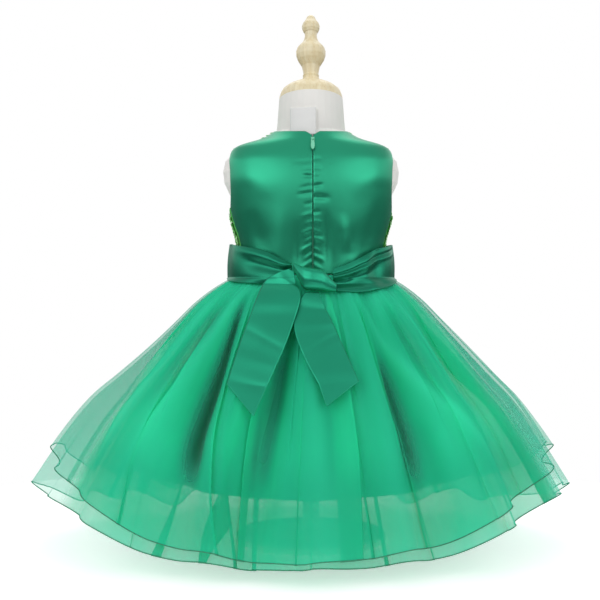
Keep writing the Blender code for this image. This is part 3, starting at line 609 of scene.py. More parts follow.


# Creases listed for the tulle: where they start and end down the skirt, how far they stand
# out (or in, below 0) and how far they lap over their neighbour, in degrees
Crease = namedtuple("Crease", "waist_angle hem_angle start end height half_angle lap")
CREASES = listed(
    Crease,
    (-86, -84, 0.02, 1.00, 0.0035, 2.2, 2.4),
    (-76, -71, 0.02, 0.80, 0.0030, 1.6, -2.0),
    (-68, -66, 0.05, 1.00, 0.0040, 2.0, 3.2),
    (-57, -50, 0.02, 0.95, 0.0030, 1.5, -2.4),
    (-50, -41, 0.02, 1.00, 0.0045, 1.9, 3.0),
    (-43, -33, 0.03, 0.70, 0.0025, 1.2, -1.8),
    (-33, -19, 0.02, 1.00, 0.0050, 1.7, 3.6),
    (-25, -16, 0.05, 0.65, 0.0020, 1.1, 1.2),
    (-14, -8.5, 0.02, 1.00, 0.0050, 1.5, -3.4),
    (-5, -5, 0.02, 0.85, 0.0025, 1.1, 1.6),
    (1, 1.0, 0.02, 1.00, 0.0035, 1.3, -2.2),
    (9, 11, 0.02, 1.00, 0.0040, 1.3, 2.8),
    (15, 16, 0.02, 0.55, 0.0020, 0.9, -1.2),
    (20, 19, 0.02, 0.90, 0.0030, 1.2, 2.0),
    (25, 28, 0.02, 1.00, 0.0050, 1.7, -3.4),
    (34, 35, 0.02, 0.75, 0.0025, 1.2, 1.8),
    (41, 42, 0.03, 1.00, 0.0045, 1.9, -3.0),
    (50, 48, 0.02, 0.90, 0.0030, 1.4, 2.2),
    (60, 58, 0.02, 1.00, 0.0040, 2.0, -3.0),
    (70, 67, 0.04, 0.80, 0.0030, 1.5, 2.0),
    (80, 81, 0.02, 1.00, 0.0035, 2.2, -2.6),
    (92, 93, 0.02, 1.00, 0.0035, 2.0, 2.2),
    (103, 100, 0.03, 0.80, 0.0030, 1.5, -2.2),
    (112, 109, 0.02, 1.00, 0.0045, 2.0, 3.2),
    (126, 124, 0.02, 0.90, 0.0030, 1.6, -2.6),
    (137, 134, 0.02, 1.00, 0.0045, 1.9, 3.0),
    (147, 144, 0.03, 1.00, 0.0045, 1.8, -3.2),
    (160, 158, 0.02, 0.85, 0.0030, 1.5, 2.2),
    (170, 169, 0.02, 1.00, 0.0040, 1.7, -2.6),
    (-169, -168, 0.02, 0.90, 0.0030, 1.5, 2.6),
    (-158, -156, 0.02, 1.00, 0.0040, 1.8, -2.8),
    (-141, -136, 0.02, 1.00, 0.0050, 1.8, 3.4),
    (-131, -127, 0.03, 0.80, 0.0030, 1.5, -2.0),
    (-122, -118, 0.02, 1.00, 0.0045, 1.9, 3.0),
    (-108, -103, 0.02, 0.95, 0.0035, 1.7, -2.8),
    (-97, -95, 0.02, 1.00, 0.0035, 2.0, 2.4),
)
# How the net thins in each of the deep folds: from how far down the skirt, and how much
FOLD_NET = [
    (0.30, 0.0),
    (0.04, 1.0),
    (0.18, 0.45),
    (0.30, 0.15),
    (0.24, 0.85),
    (0.30, 0.0),
    (0.30, 0.0),
    (0.30, 0.1),
    (0.06, 1.0),
    (0.15, 0.6),
    (0.08, 1.0),
    (0.30, 0.1),
]
# Broad soft streaks where the gathered net crowds closest, or less than beside them. Their change
# of cover also lightens or darkens the net's colour: in part painted highlight and painted shade
# of broad soft folds
Streak = namedtuple("Streak", "waist_angle hem_angle start end half_angle cover height")
STREAKS = listed(
    Streak,
    (-56, -51, 0.04, 0.95, 3.0, 0.14, 0.0030),
    (-39, -41, 0.06, 0.85, 1.7, 0.16, 0.0030),
    (-44, -44, 0.08, 0.60, 2.8, -0.38, -0.0020),
    (-17, -18, 0.10, 0.70, 1.6, 0.10, 0.0015),
    (14, 15, 0.10, 0.75, 1.8, 0.10, 0.0015),
    (23, 52, 0.06, 0.85, 2.0, 0.16, 0.0035),
    (37, 41, 0.08, 0.60, 2.8, -0.26, -0.0020),
    (30, 33, 0.45, 0.95, 2.4, -0.12, -0.0015),
    (47, 57, 0.06, 0.90, 2.0, 0.12, 0.0030),
    (139, 136, 0.05, 0.90, 2.2, 0.14, 0.0030),
    (147, 146, 0.10, 0.60, 2.2, -0.25, -0.0020),
    (164, 161, 0.05, 0.80, 2.0, 0.14, 0.0025),
    (-161, -157, 0.05, 0.85, 2.0, 0.14, 0.0030),
    (-133, -137, 0.05, 0.90, 2.2, 0.14, 0.0030),
    (-127, -129, 0.10, 0.60, 2.2, -0.25, -0.0020),
)
GATHERS = 92
GATHER_DEPTH = 0.0008
# How much of the light one layer of net stops: single at the sides, gathered full, more at the
# waist, and at the bottom of the deep folds, high up and at the hem
THIN_COVER = 0.38
FULL_COVER = 0.74
CROWDED_COVER = 0.93
WAIST_COVER = 0.12
FOLD_COVER = 0.05
FOLD_COVER_AT_HEM = 0.66
FOLD_THIN_WIDTH = 0.80
# Painted shade: how much the gathered net's colour is darkened below the lining, where nothing light
# lies behind it
HEM_SHADE = 0.20
# The pleats that the gathered cloth hangs in: how deep they are at the hem, how far each laps over
# the next in its own turns of the cloth, and how far that falls away at the sides
PLEATS = 19
PLEAT_DEPTH = 0.0040
SIDE_FULLNESS = 0.05
# How far the sides of the deep folds are drawn together
FOLD_CLOSE = 0.20


def crease_moves(angle, drop, shift):
    """How far the hand-laid creases stand out, in metres, and lap over, in degrees."""
    out = np.zeros_like(angle)
    over = np.zeros_like(angle)
    calm = 0.25 + 0.75 * fullness_at(angle, drop, 0)
    for crease in CREASES:
        away = off_line(crease, angle, drop, shift)
        share = (drop - crease.start) / (crease.end - crease.start)
        rise = ease(-0.02, 0.25, share)
        if crease.end < 1:
            rise = rise * (1 - ease(0.65, 1.0, share))
        hill = np.exp(-((away / crease.half_angle) ** 2)) * calm
        out += crease.height * rise * hill
        over += crease.lap * rise * hill
    return out, over


def gathers(place_round, drop):
    """The fine crimping under the waist seam, which fades down the skirt."""
    a = np.radians(place_round)
    width = 0.65 + 0.35 * np.sin(11 * a + 0.5) * np.sin(23 * a)
    fade = ease(0.0, 0.05, drop) * (1 - ease(0.14, 0.42, drop))
    return GATHER_DEPTH * width * fade * np.cos(GATHERS * a + 1.3 * np.sin(9 * a))


def pleat_moves(place_round, angle, drop, fullness, turn):
    """The lapped pleats: how far they stand out, in metres, and lap, in degrees."""
    a = np.radians(place_round)
    phase = PLEATS * a + 2.2 * np.sin(4 * a + turn) + 1.5 * np.sin(9 * a + 2 * turn) + turn
    amount = between(SIDE_FULLNESS, 1, fullness_at(angle, drop, turn))
    amount = amount * (1 - 0.9 * fold_thinness(angle, drop, 1.4))
    amount = amount * (0.78 + 0.22 * np.sin(5 * a + 2.1 * turn)) * (0.55 + 0.45 * ease(0.0, 0.3, drop))
    side = np.tanh(4 * np.sin(3 * a + 0.7 + turn) + 2 * np.sin(8 * a + turn))
    wave = np.sin(phase)
    out = PLEAT_DEPTH * (0.15 + 0.85 * ease(0.0, 0.6, drop)) * (0.3 + 0.7 * amount) * wave
    over = fullness * amount * side * wave * degrees(1) / PLEATS
    return out, over


def place_at(angle):
    """Where on the cloth's way round lies what hangs at this angle: the undoing of uneven."""
    place_round = angle
    for _ in range(5):
        place_round = place_round - (uneven(place_round) - angle)
    return place_round


def fold_close(angle, drop):
    """How far the sides of the deep folds are drawn together, in degrees."""
    over = np.zeros_like(angle)
    for fold in FOLDS:
        away = off_line(fold, angle, drop)
        near = np.exp(-((away / (1.25 * fold.half_angle)) ** 2))
        over -= FOLD_CLOSE * ease(0.05, 0.5, drop) * away * near
    return over


def fullness_at(angle, drop, turn):
    """How full the net is gathered: 1 at the front and back, 0 at the sides."""
    on_left = np.sin(np.radians(angle)) < 0
    spread = np.where(on_left, 17.0, 6.0) * (1 - ease(0.15, 0.58, drop))
    edge = np.where(on_left, 57.0, 59.0) + spread + 1.5 * turn
    from_side = np.abs(from_back(angle) - 90)
    return ease(90 - edge - 1.5, 90 - edge + 3.0, from_side)


def fold_thinness(angle, drop, width):
    """How far into the deep folds a place lies, where the net hangs single: 1 at their bottom."""
    deepest = np.zeros_like(angle)
    for fold, (start, thinness) in zip(FOLDS, FOLD_NET):
        away = off_line(fold, angle, drop)
        reach = width * fold.half_angle * (0.6 + 0.4 * ease(0.15, 0.5, drop))
        thin = np.exp(-np.abs(away / reach) ** 3)
        strength = thinness * ease(start, start + 0.16, drop)
        deepest = np.maximum(deepest, thin * strength)
    return deepest


def streaks(angle, drop):
    """The crowded streaks: how far they stand out, and how much more of the light they stop."""
    out = np.zeros_like(angle)
    more = np.zeros_like(angle)
    for streak in STREAKS:
        hill = bump(off_line(streak, angle, drop), 0.0, streak.half_angle)
        hill = hill * ease(streak.start, streak.start + 0.15, drop)
        hill = hill * (1 - ease(streak.end - 0.3, streak.end, drop))
        out += streak.height * hill
        more += streak.cover * hill
    return out, more


def net_cover(angle, drop, turn):
    """How much of the light the net stops."""
    full = fullness_at(angle, drop, turn)
    a = np.radians(angle)
    gathered = 0.08 * np.sin(7 * a + 1 + turn) * np.sin(17 * a + 2 * turn)
    # The streaks' cover also sets the colour: in part painted highlight and painted shade
    gathered = gathered + WAIST_COVER * (1 - ease(0.0, 0.25, drop)) + streaks(angle, drop)[1]
    cover = THIN_COVER + (FULL_COVER - THIN_COVER + gathered) * full
    at_fold = between(FOLD_COVER, FOLD_COVER_AT_HEM, ease(0.62, 0.80, drop))
    cover = cover - (cover - at_fold) * fold_thinness(angle, drop, FOLD_THIN_WIDTH)
    return np.clip(cover, 0.0, 0.95)


def tulle_grid(columns, rows, behind, short, turn, fullness):
    """One layer of tulle: a grid of points from its hem up to the waist, its cover and shade."""
    place = np.linspace(-180, 180, columns, endpoint=False)
    place, share = spread(place, np.linspace(1, 0, rows) ** 1.25)
    angle = uneven(place)
    pleat, lap = pleat_moves(place, angle, share, fullness, turn)
    angle = angle + lap
    out, over = crease_moves(angle, share, 1.5 * turn)
    angle = angle + over + fold_close(angle, share)
    drop = share - HEM_SHORT(from_back(angle)) * share ** 3 if short else share
    crimp = gathers(place_at(angle), drop) * (0.1 + 0.9 * fullness_at(angle, drop, turn))
    offset = fold_offset(place_at(angle), angle, drop) + out + pleat + crimp
    offset = offset + streaks(angle, drop)[0]
    offset = offset - behind * (1 + 2 * drop) - (LAYER_BEHIND(drop) * side_share(angle) if behind else 0)
    grid = skirt_base(angle, drop) + skirt_out(angle, drop) * offset[..., None]
    # Painted shade: the gathered net's colour is darkened below the lining
    shade = HEM_SHADE * ease(0.60, 0.80, drop) * fullness_at(angle, drop, turn)
    return grid, net_cover(angle, drop, turn), shade


def make_skirt():
    net = tulle("green_tulle", (0.070, 0.68, 0.47), (0.042, 0.82, 0.50), (0.070, 0.92, 0.60))
    thread = speckled("tulle_hem_thread", (0.012, 0.22, 0.12), 0.6, 300.0, 0.2)[0]
    layers = (
        ("tulle_outer", "skirt_tulle_outer", 0.0, True, 0.0, 1.5, (2.50, 0.39), 0.72),
        ("tulle_inner", "skirt_tulle_inner", TULLE_WALL, False, 1.7, 1.8, (2.47, 0.40), 0.735),
    )
    for name, node_name, behind, short, turn, fullness, flat, area in layers:
        grid, cover, shade = tulle_grid(*NET_GRID, behind, short, turn, fullness)
        piece = cloth(name, grid, 0, net, node_name, closed=True)
        add_layer(piece.data, "cover", cover)
        add_layer(piece.data, "shade", shade)
        hem = put(name + "_hem", tube_mesh(name + "_hem", grid[0], HEM_THREAD, True), thread)


def make_lining():
    made, tree, main = speckled(
        "green_lining", (0.0030, 0.075, 0.037), 0.45, 12.0, 0.1, Metallic=0.15, Sheen_Weight=0.1
    )
    woven(tree, main, 0.0007, 0.1, 0.0001)
    columns, rows = LINING_GRID
    a, share = spread(np.linspace(-pi, pi, columns, endpoint=False), np.linspace(1, 0, rows))
    run = share ** 0.85
    flute = LINING_FLUTE_DEPTH * share * np.cos(LINING_FLUTES * a)
    flute = flute + 0.0016 * share * np.cos(31 * a + 2 * np.sin(5 * a))
    half_width = between(LINING_WAIST[0], LINING_HEM[0], run) + flute
    half_depth = between(LINING_WAIST[1], LINING_HEM[1], run) + flute
    hem_z = LINING_HEM_Z + LINING_SIDE_RISE * np.sin(a) ** 2
    x = HEM_SHIFT * 0.4 * run + half_width * np.sin(a)
    y = -half_depth * np.cos(a)
    z = WAIST_Z - (WAIST_Z - hem_z) * share
    grid = np.stack([x, y, z], -1)
    piece = cloth("lining", grid, THIN_SHELL, made, "skirt_lining", closed=True)


# The bodice


class Eased:
    """A curve with its bends rounded off over this height."""

    def __init__(self, curve, reach):
        self.at = np.linspace(curve.keys[0] - 0.03, curve.keys[-1] + 0.03, 600)
        inside = np.clip(self.at, curve.keys[0], curve.keys[-1])
        end = curve.values[-1] + curve.slopes[-1] * (self.at - curve.keys[-1])
        plain = np.where(self.at > curve.keys[-1], end, curve(inside))
        weights = np.exp(-(((self.at[None, :] - self.at[:, None]) / reach) ** 2))
        self.values = (weights @ plain) / weights.sum(axis=1)

    def __call__(self, key):
        return np.interp(key, self.at, self.values)


BODICE_WIDTH = Eased(smooth(BODICE, "half_width"), 0.0045)
BODICE_DEPTH = Eased(smooth(BODICE, "half_depth"), 0.0150)
BODICE_SQUARENESS = smooth(BODICE, "squareness")
ARC_ANGLES = np.linspace(0, pi, 181)
ARC_HEIGHTS = np.linspace(0.350, 0.5445, 260)


def section_arc(z):
    """Half the section at height z from one centre line to the other: distances, xs and ys."""
    power = 2 / BODICE_SQUARENESS(z)
    turn_x = np.maximum(np.sin(ARC_ANGLES), 0.0)
    turn_y = np.cos(ARC_ANGLES)
    x = BODICE_WIDTH(z) * turn_x ** power
    y = BODICE_DEPTH(z) * np.abs(turn_y) ** power * np.sign(turn_y)
    walked = np.concatenate([[0], np.cumsum(np.hypot(np.diff(x), np.diff(y)))])
    return walked, x, y


ARCS = [section_arc(z) for z in ARC_HEIGHTS]


def wrapped(distance, z, face):
    """The point that lies this far round from the centre of the back (-1) or front (+1)."""
    at = (z - ARC_HEIGHTS[0]) / (ARC_HEIGHTS[1] - ARC_HEIGHTS[0])
    i = int(min(max(at, 0), len(ARCS) - 2))
    s = min(max(at - i, 0.0), 1.0)
    reach = abs(distance)
    side = 1 if distance >= 0 else -1
    point = []
    for k in (1, 2):
        low, high = (np.interp(reach, arc[0], arc[k]) for arc in (ARCS[i], ARCS[i + 1]))
        point.append(between(low, high, s))
    return np.array([side * point[0], face * point[1], z])


def distance_to(y_from_side, z):
    """How far round the section lies the point at this y before the side."""
    walked, _, y = section_arc(z)
    return float(np.interp(-y_from_side, -y, walked))


ARMHOLE_HALF_HEIGHT = 0.5 * (SHOULDER_TIP_Z - ARMHOLE_BOTTOM_Z)
ARMHOLE_Z = 0.5 * (SHOULDER_TIP_Z + ARMHOLE_BOTTOM_Z)
FRONT = 1
BACK = -1
SEAM_SHARE = 0.5
# How far behind the side each side seam runs: at the waist and at the armhole, by side
SEAMS = {-1: (0.0400, 0.0205), 1: (0.0290, 0.0135)}


def outer_edge(face, side, share):
    """A point of the panel's outer edge: up the side seam, then round the armhole."""
    at_waist, at_armhole = SEAMS[side]
    top_drop = ARMHOLE_HALF_HEIGHT * sqrt(1 - (at_armhole / ARMHOLE_HALF_WIDTH) ** 2)
    if share <= SEAM_SHARE:
        up = share / SEAM_SHARE
        z = between(BODICE_BOTTOM_Z, ARMHOLE_Z - top_drop, up)
        back = between(at_waist, at_armhole, up)
        return distance_to(face * -back + 0.5 * PANEL_GAP, z), z
    low = atan2(-top_drop / ARMHOLE_HALF_HEIGHT, -at_armhole / ARMHOLE_HALF_WIDTH)
    tip = 0.5 * pi if face == FRONT else -1.5 * pi
    angle = between(low, tip, (share - SEAM_SHARE) / (1 - SEAM_SHARE))
    y = ARMHOLE_HALF_WIDTH * cos(angle)
    z = ARMHOLE_Z + ARMHOLE_HALF_HEIGHT * sin(angle)
    return distance_to(face * y, z), z


def top_edge(face, start, notch_at, columns):
    """The neckline, then the shoulder seam to its tip, with a point for each column."""
    neck_reach = distance_to(0, NECK_Z)
    half = columns // 2
    line = []
    for i in range(half + 1):
        distance = between(start, neck_reach, i / half)
        dip = 1 - (distance / neck_reach) ** 2
        if face == FRONT:
            drop = FRONT_NECK_DROP * dip
        else:
            notch = max(0.0, 1 - abs(distance - notch_at) / NOTCH_HALF_WIDTH)
            drop = BACK_NECK_DROP * dip + NOTCH_DEPTH * notch
        line.append((distance, NECK_Z - drop))
    for i in range(1, columns - half + 1):
        z = between(NECK_Z, SHOULDER_TIP_Z, i / (columns - half))
        line.append((distance_to(0, z), z))
    return line


def pattern(face, side, start, notch_at, columns, rows):
    """A grid of (distance round, height) that fills a flat pattern piece."""
    top = top_edge(face, start, notch_at, columns)
    corner = outer_edge(face, side, 0)
    grid = np.zeros((rows + 1, columns + 1, 2))
    for r in range(rows + 1):
        v = r / rows
        centre = (start, between(BODICE_BOTTOM_Z, top[0][1], v))
        edge = outer_edge(face, side, v)
        for i, above in enumerate(top):
            u = i / columns
            below = (between(start, corner[0], u), BODICE_BOTTOM_Z)
            for k, first in enumerate((start, BODICE_BOTTOM_Z)):
                sides = (1 - u) * centre[k] + u * edge[k]
                ends = (1 - v) * below[k] + v * above[k]
                corners = (
                    (1 - u) * (1 - v) * first
                    + u * (1 - v) * corner[k]
                    + (1 - u) * v * top[0][k]
                    + u * v * top[-1][k]
                )
                grid[r, i, k] = sides + ends - corners
    return grid


SHOULDER_GAP = 0.00035


def worn(flat, face, side):
    """The flat grid's points on the body, kept clear of the neighbour at the shoulder seam."""
    points = np.zeros(flat.shape[:2] + (3,))
    for r in range(flat.shape[0]):
        for i in range(flat.shape[1]):
            distance, z = flat[r, i]
            point = wrapped(side * distance, z, face)
            if z > SHOULDER_TIP_Z - 0.001 and abs(point[1]) < SHOULDER_GAP:
                point[1] = face * SHOULDER_GAP
            points[r, i] = point
    return points


def grid_normals(grid):
    """The way out at each point of a grid that turns from -Y to +X and runs up."""
    across = np.gradient(grid, axis=1)
    up = np.gradient(grid, axis=0)
    out = np.cross(across, up)
    return out / (np.linalg.norm(out, axis=-1, keepdims=True) + 1e-12)


# The little puckers beside the zip: height at the slit, how far they run, how far they fall on
# the way, how far they stand out
Pucker = namedtuple("Pucker", "z run fall height half_width")
PUCKERS_LEFT = listed(
    Pucker,
    (0.4965, 0.024, 0.002, -0.0006, 0.0030),
    (0.4870, 0.013, 0.001, -0.0006, 0.0022),
    (0.4770, 0.014, 0.000, -0.0012, 0.0024),
    (0.4650, 0.017, 0.004, -0.0006, 0.0024),
    (0.4560, 0.019, 0.003, -0.0010, 0.0026),
    (0.4430, 0.011, 0.003, -0.0006, 0.0024),
    (0.4300, 0.015, 0.005, 0.0006, 0.0028),
    (0.4190, 0.010, 0.003, 0.0005, 0.0023),
    (0.4100, 0.014, 0.007, 0.0008, 0.0030),
    (0.3990, 0.010, 0.007, 0.0007, 0.0022),
    (0.3905, 0.015, 0.010, 0.0012, 0.0030),
    (0.3790, 0.011, 0.009, 0.0008, 0.0023),
    (0.3700, 0.015, 0.011, 0.0012, 0.0030),
)
PUCKERS_RIGHT = listed(
    Pucker,
    (0.4990, 0.011, -0.001, -0.0010, 0.0024),
    (0.4875, 0.012, 0.001, -0.0009, 0.0024),
    (0.4755, 0.010, 0.001, -0.0006, 0.0022),
    (0.4640, 0.013, -0.002, -0.0012, 0.0026),
    (0.4500, 0.021, 0.001, -0.0017, 0.0036),
    (0.4310, 0.010, -0.001, -0.0009, 0.0024),
    (0.4200, 0.011, 0.002, 0.0006, 0.0023),
    (0.4085, 0.010, 0.004, 0.0006, 0.0022),
    (0.3985, 0.014, 0.004, 0.0009, 0.0029),
    (0.3860, 0.010, 0.006, 0.0007, 0.0023),
    (0.3770, 0.014, 0.008, 0.0012, 0.0030),
    (0.3660, 0.013, 0.009, 0.0009, 0.0028),
)
# Long soft drags in the satin: from and to (distance round, height), height out, half-width
Drag = namedtuple("Drag", "from_x from_z to_x to_z height half_width")
DRAGS_LEFT = listed(
    Drag,
    (0.095, 0.490, 0.050, 0.455, 0.0010, 0.014),
    (0.017, 0.412, 0.020, 0.356, -0.0018, 0.0055),
    (0.040, 0.430, 0.044, 0.362, 0.0010, 0.0110),
    (0.085, 0.430, 0.064, 0.385, -0.0018, 0.012),
)
DRAGS_RIGHT = listed(
    Drag,
    (0.095, 0.490, 0.050, 0.460, 0.0010, 0.013),
    (0.015, 0.428, 0.019, 0.362, -0.0024, 0.0055),
    (0.036, 0.425, 0.042, 0.385, 0.0014, 0.0080),
    (0.052, 0.410, 0.048, 0.362, -0.0014, 0.0080),
    (0.092, 0.440, 0.064, 0.375, -0.0012, 0.012),
)


def along(x, z, x0, z0, x1, z1):
    """How far along a line each place is, 0 to 1, and how far off it."""
    length = hypot(x1 - x0, z1 - z0)
    ux, uz = (x1 - x0) / length, (z1 - z0) / length
    share = ((x - x0) * ux + (z - z0) * uz) / length
    off = (x - x0) * -uz + (z - z0) * ux
    return share, off


def satin_relief(flat, start, puckers, drags):
    """How far the satin stands out of the smooth bodice."""
    x = flat[..., 0] - start
    z = flat[..., 1]
    relief = np.zeros(x.shape)
    for p in puckers:
        share, off = along(x, z, 0.0, p.z, p.run, p.z - p.fall)
        length = ease(-0.25, 0.25, share) * (1 - ease(0.45, 1.15, share))
        relief += p.height * length * np.exp(-((off / p.half_width) ** 2))
    for d in drags:
        share, off = along(x, z, d.from_x, d.from_z, d.to_x, d.to_z)
        length = ease(-0.2, 0.4, share) * (1 - ease(0.6, 1.2, share))
        relief += d.height * length * np.exp(-((off / d.half_width) ** 2))
    hollow = bump(x, 0.0, 0.026) * (1 - ease(0.366, 0.430, z))
    seam = bump(x, 0.0, 0.0022)
    return np.maximum(relief - 0.0040 * hollow, -0.0052) - 0.0002 * seam


def make_bodice():
    green = satin("green_satin", (0.028, 0.390, 0.220), 0.36)
    for name, side, puckers, drags in (
        ("bodice_back_left", -1, PUCKERS_LEFT, DRAGS_LEFT),
        ("bodice_back_right", 1, PUCKERS_RIGHT, DRAGS_RIGHT),
    ):
        start = side * ZIP_X + HALF_SLIT
        flat = pattern(BACK, side, start, side * ZIP_X, *BACK_GRID)
        points = worn(flat, BACK, side)
        relief = satin_relief(flat, start, puckers, drags)
        if side < 0:
            points, relief = points[:, ::-1], relief[:, ::-1]
        points = points + grid_normals(points) * relief[..., None]
        piece = cloth("satin" + name[6:], points, BODICE_SHELL, green, name)
    make_front()


SEQUIN_RADIUS = 0.0027
SEQUIN_STEP = 0.0041
SEQUIN_ROW = 0.0034
SEQUIN_SIDES = 8
# How far a disc stands off the cloth, and how far its middle is sunk and its rim is raised
SEQUIN_PROUD = 0.0016
SEQUIN_SUNK = 0.0003
SEQUIN_RIM = 0.0004
# The least and most that a disc tips sideways and down
SEQUIN_ROLL = (-0.45, 0.45)
SEQUIN_PITCH = (0.15, 0.85)
# How far the discs stay in from the pattern's outline, sideways and upwards
SEQUIN_EDGE = (0.0008, 0.0015)
SEQUIN_REACH = 0.17


def make_front():
    base = speckled("sequin_ground", (0.12, 0.60, 0.12), 0.6, 40.0, 0.15)[0]
    halves = {side: pattern(FRONT, side, 0.0, 0.0, *FRONT_GRID) for side in (-1, 1)}
    right = worn(halves[1], FRONT, 1)
    left = worn(halves[-1], FRONT, -1)
    points = np.concatenate([right[:, ::-1], left[:, 1:]], axis=1)
    cloth_front = cloth("sequin_cloth", points, BODICE_SHELL, base, "bodice_front")
    make_sequins(halves)


def inside(flat_edge, distance, z):
    """Whether a place lies on the flat pattern, by its outline."""
    hit = False
    for (x0, z0), (x1, z1) in zip(flat_edge, np.roll(flat_edge, -1, axis=0)):
        if (z0 > z) != (z1 > z) and distance < x0 + (x1 - x0) * (z - z0) / (z1 - z0):
            hit = not hit
    return hit


def sequin(side, distance, z, roll, pitch):
    """One disc's points, its middle first, at a place on the front."""
    centre = wrapped(side * distance, z, FRONT)
    a = Vector(wrapped(side * distance + 0.0005, z, FRONT) - centre).normalized()
    b = Vector(wrapped(side * distance, z + 0.0005, FRONT) - centre)
    b = (b - a * b.dot(a)).normalized()
    out = a.cross(b)
    if out.dot(Vector((centre[0], centre[1], 0))) < 0:
        out = -out
    middle = Vector(centre) + out * SEQUIN_PROUD
    points = [middle - out * SEQUIN_SUNK]
    for k in range(SEQUIN_SIDES):
        turn = 2 * pi * k / SEQUIN_SIDES
        u, v = cos(turn), sin(turn)
        lift = SEQUIN_RADIUS * (roll * u - pitch * v) * 0.5
        points.append(middle + (a * u + b * v) * SEQUIN_RADIUS + out * (lift + SEQUIN_RIM))
    return points


def make_sequins(halves):
    """Small cupped discs in staggered rows, each tilted a little its own way."""
    glitter = speckled(
        "lime_sequins", (0.36, 0.96, 0.30), 0.30, 90.0, 0.3, Coat_Weight=0.6, Coat_Roughness=0.10
    )[0]
    edges = {}
    for side, half in halves.items():
        ring = [half[0], half[1:, -1], half[-1, ::-1][1:], half[::-1, 0][1:-1]]
        edges[side] = np.concatenate(ring)
    seeded = random.Random(7)
    verts, faces = [], []
    z = BODICE_BOTTOM_Z + 0.002
    row = 0
    while z < NECK_Z:
        distance = 0.5 * SEQUIN_STEP * (row % 2)
        while distance < SEQUIN_REACH:
            for side in (-1, 1) if distance > 0 else (1,):
                edge = edges[side]
                if not inside(edge, distance + SEQUIN_EDGE[0], z):
                    continue
                if not inside(edge, distance, z + SEQUIN_EDGE[1]):
                    continue
                roll = seeded.uniform(*SEQUIN_ROLL)
                pitch = seeded.uniform(*SEQUIN_PITCH)
                first = len(verts)
                verts.extend(sequin(side, distance, z, roll, pitch))
                for k in range(SEQUIN_SIDES):
                    next_k = (k + 1) % SEQUIN_SIDES
                    faces.append((first, first + 1 + k, first + 1 + next_k))
            distance += SEQUIN_STEP
        z += SEQUIN_ROW
        row += 1
    mesh = bpy.data.meshes.new("sequins")
    mesh.from_pydata([tuple(v) for v in verts], [], faces)
    put("sequins", mesh, glitter)


# The zip


COIL_TURNS = 130
COIL_STEPS = 6
COIL_HALF_WIDTH = 0.0006
COIL_HALF_DEPTH = 0.00025
COIL_THREAD = 0.00018
COIL_SUNK = 0.0006
TAPE_HALF_WIDTH = 0.0009
TAPE_SUNK = 0.0009
TAPE_ROWS = 160


def back_point(z, proud):
    """A place on the back's centre line, this far proud of the smooth bodice."""
    return np.array([ZIP_X, -float(BODICE_DEPTH(z)) - proud, z])


def make_zip():
    """The chain's fine coil on its tape, in the slit."""
    coil = speckled("green_zip", (0.010, 0.20, 0.11), 0.45, 200.0, 0.1)[0]
    zs = np.linspace(CHAIN_BOTTOM_Z, CHAIN_TOP_Z, TAPE_ROWS)
    across = (-TAPE_HALF_WIDTH, 0, TAPE_HALF_WIDTH)
    tape = np.stack([[back_point(z, -TAPE_SUNK) + [x, 0, 0] for x in across] for z in zs])
    cloth("zip_tape", tape, TAPE_SHELL, coil, "zip_chain")
    path = []
    steps = COIL_TURNS * COIL_STEPS
    for i in range(steps):
        turn = 2 * pi * i / COIL_STEPS
        z = between(CHAIN_BOTTOM_Z, CHAIN_TOP_Z, i / steps)
        middle = back_point(z, COIL_HALF_DEPTH * sin(turn) - COIL_SUNK)
        path.append(middle + [COIL_HALF_WIDTH * cos(turn), 0, 0])
    put("zip_coil", tube_mesh("zip_coil", path, COIL_THREAD, False, 4), coil)


def finish_hard_parts():
    """Better finishes on the CAD nodes that stay: slider, pull, form and stand."""
    enamel = speckled(
        "mint_enamel", (0.20, 0.68, 0.45), 0.28, 120.0, 0.05, Coat_Weight=0.5, Coat_Roughness=0.12
    )[0]
    wood = beech()
    cover, tree, main = speckled(
        "cream_cover", (0.95, 0.935, 0.90), 0.85, 18.0, 0.03, Sheen_Weight=0.1
    )
    knit = noise_over(tree, "Object", Scale=900.0, Detail=2.0)
    relief = node(tree, "Bump", Strength=0.15, Distance=0.0003)
    feed(knit, "Fac", relief, "Height")
    feed(relief, "Normal", main, "Normal")
    stand = speckled("pale_stand", (0.80, 0.79, 0.76), 0.4, 30.0, 0.03)[0]
    for name, finish in (
        ("zip_slider", enamel),
        ("zip_pull", enamel),
        ("form_torso", cover),
        ("form_neck_cap", wood),
        ("form_finial", wood),
        ("form_pole", stand),
        ("form_base", stand),
    ):
        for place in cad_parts[name].material_slots:
            place.material = finish


def beech():
    """Pale turned wood: long grain up the finial, short dark flecks, a thin varnish."""
    made, tree, main = shader(
        "beech_wood", (0.78, 0.58, 0.30), 0.38, Coat_Weight=0.25, Coat_Roughness=0.25
    )
    up_it = (70, 70, 9)
    grain = noise_over(tree, "Object", up_it, Scale=3.0, Detail=6.0, Roughness=0.6)
    fleck = noise_over(tree, "Object", up_it, Scale=14.0, Detail=2.0)
    tint = ramp(tree, (0.30, (0.80, 0.66, 0.38)), (0.68, (0.94, 0.85, 0.60)))
    dark = ramp(tree, (0.62, (1, 1, 1)), (0.72, (0.86, 0.76, 0.60)))
    both = node(tree, "Mix", data_type="RGBA", blend_type="MULTIPLY", Factor=1.0)
    feed(grain, "Fac", tint, "Fac")
    feed(fleck, "Fac", dark, "Fac")
    feed(tint, "Color", both, "A")
    feed(dark, "Color", both, "B")
    feed(both, "Result", main, "Base Color")
    return made


# The sash


def skirt_girth(z, angle):
    """The half-width and half-depth that clear the skirt's flutes at a height."""
    drop = np.maximum(WAIST_Z - z, 0.0) / (WAIST_Z - HEM_Z(angle))
    run = RUN(drop)
    flute = FLUTE_DEPTH(drop)
    half_width, half_depth = skirt_radii(run)
    return half_width + flute + abs(HEM_SHIFT) * run, half_depth + flute


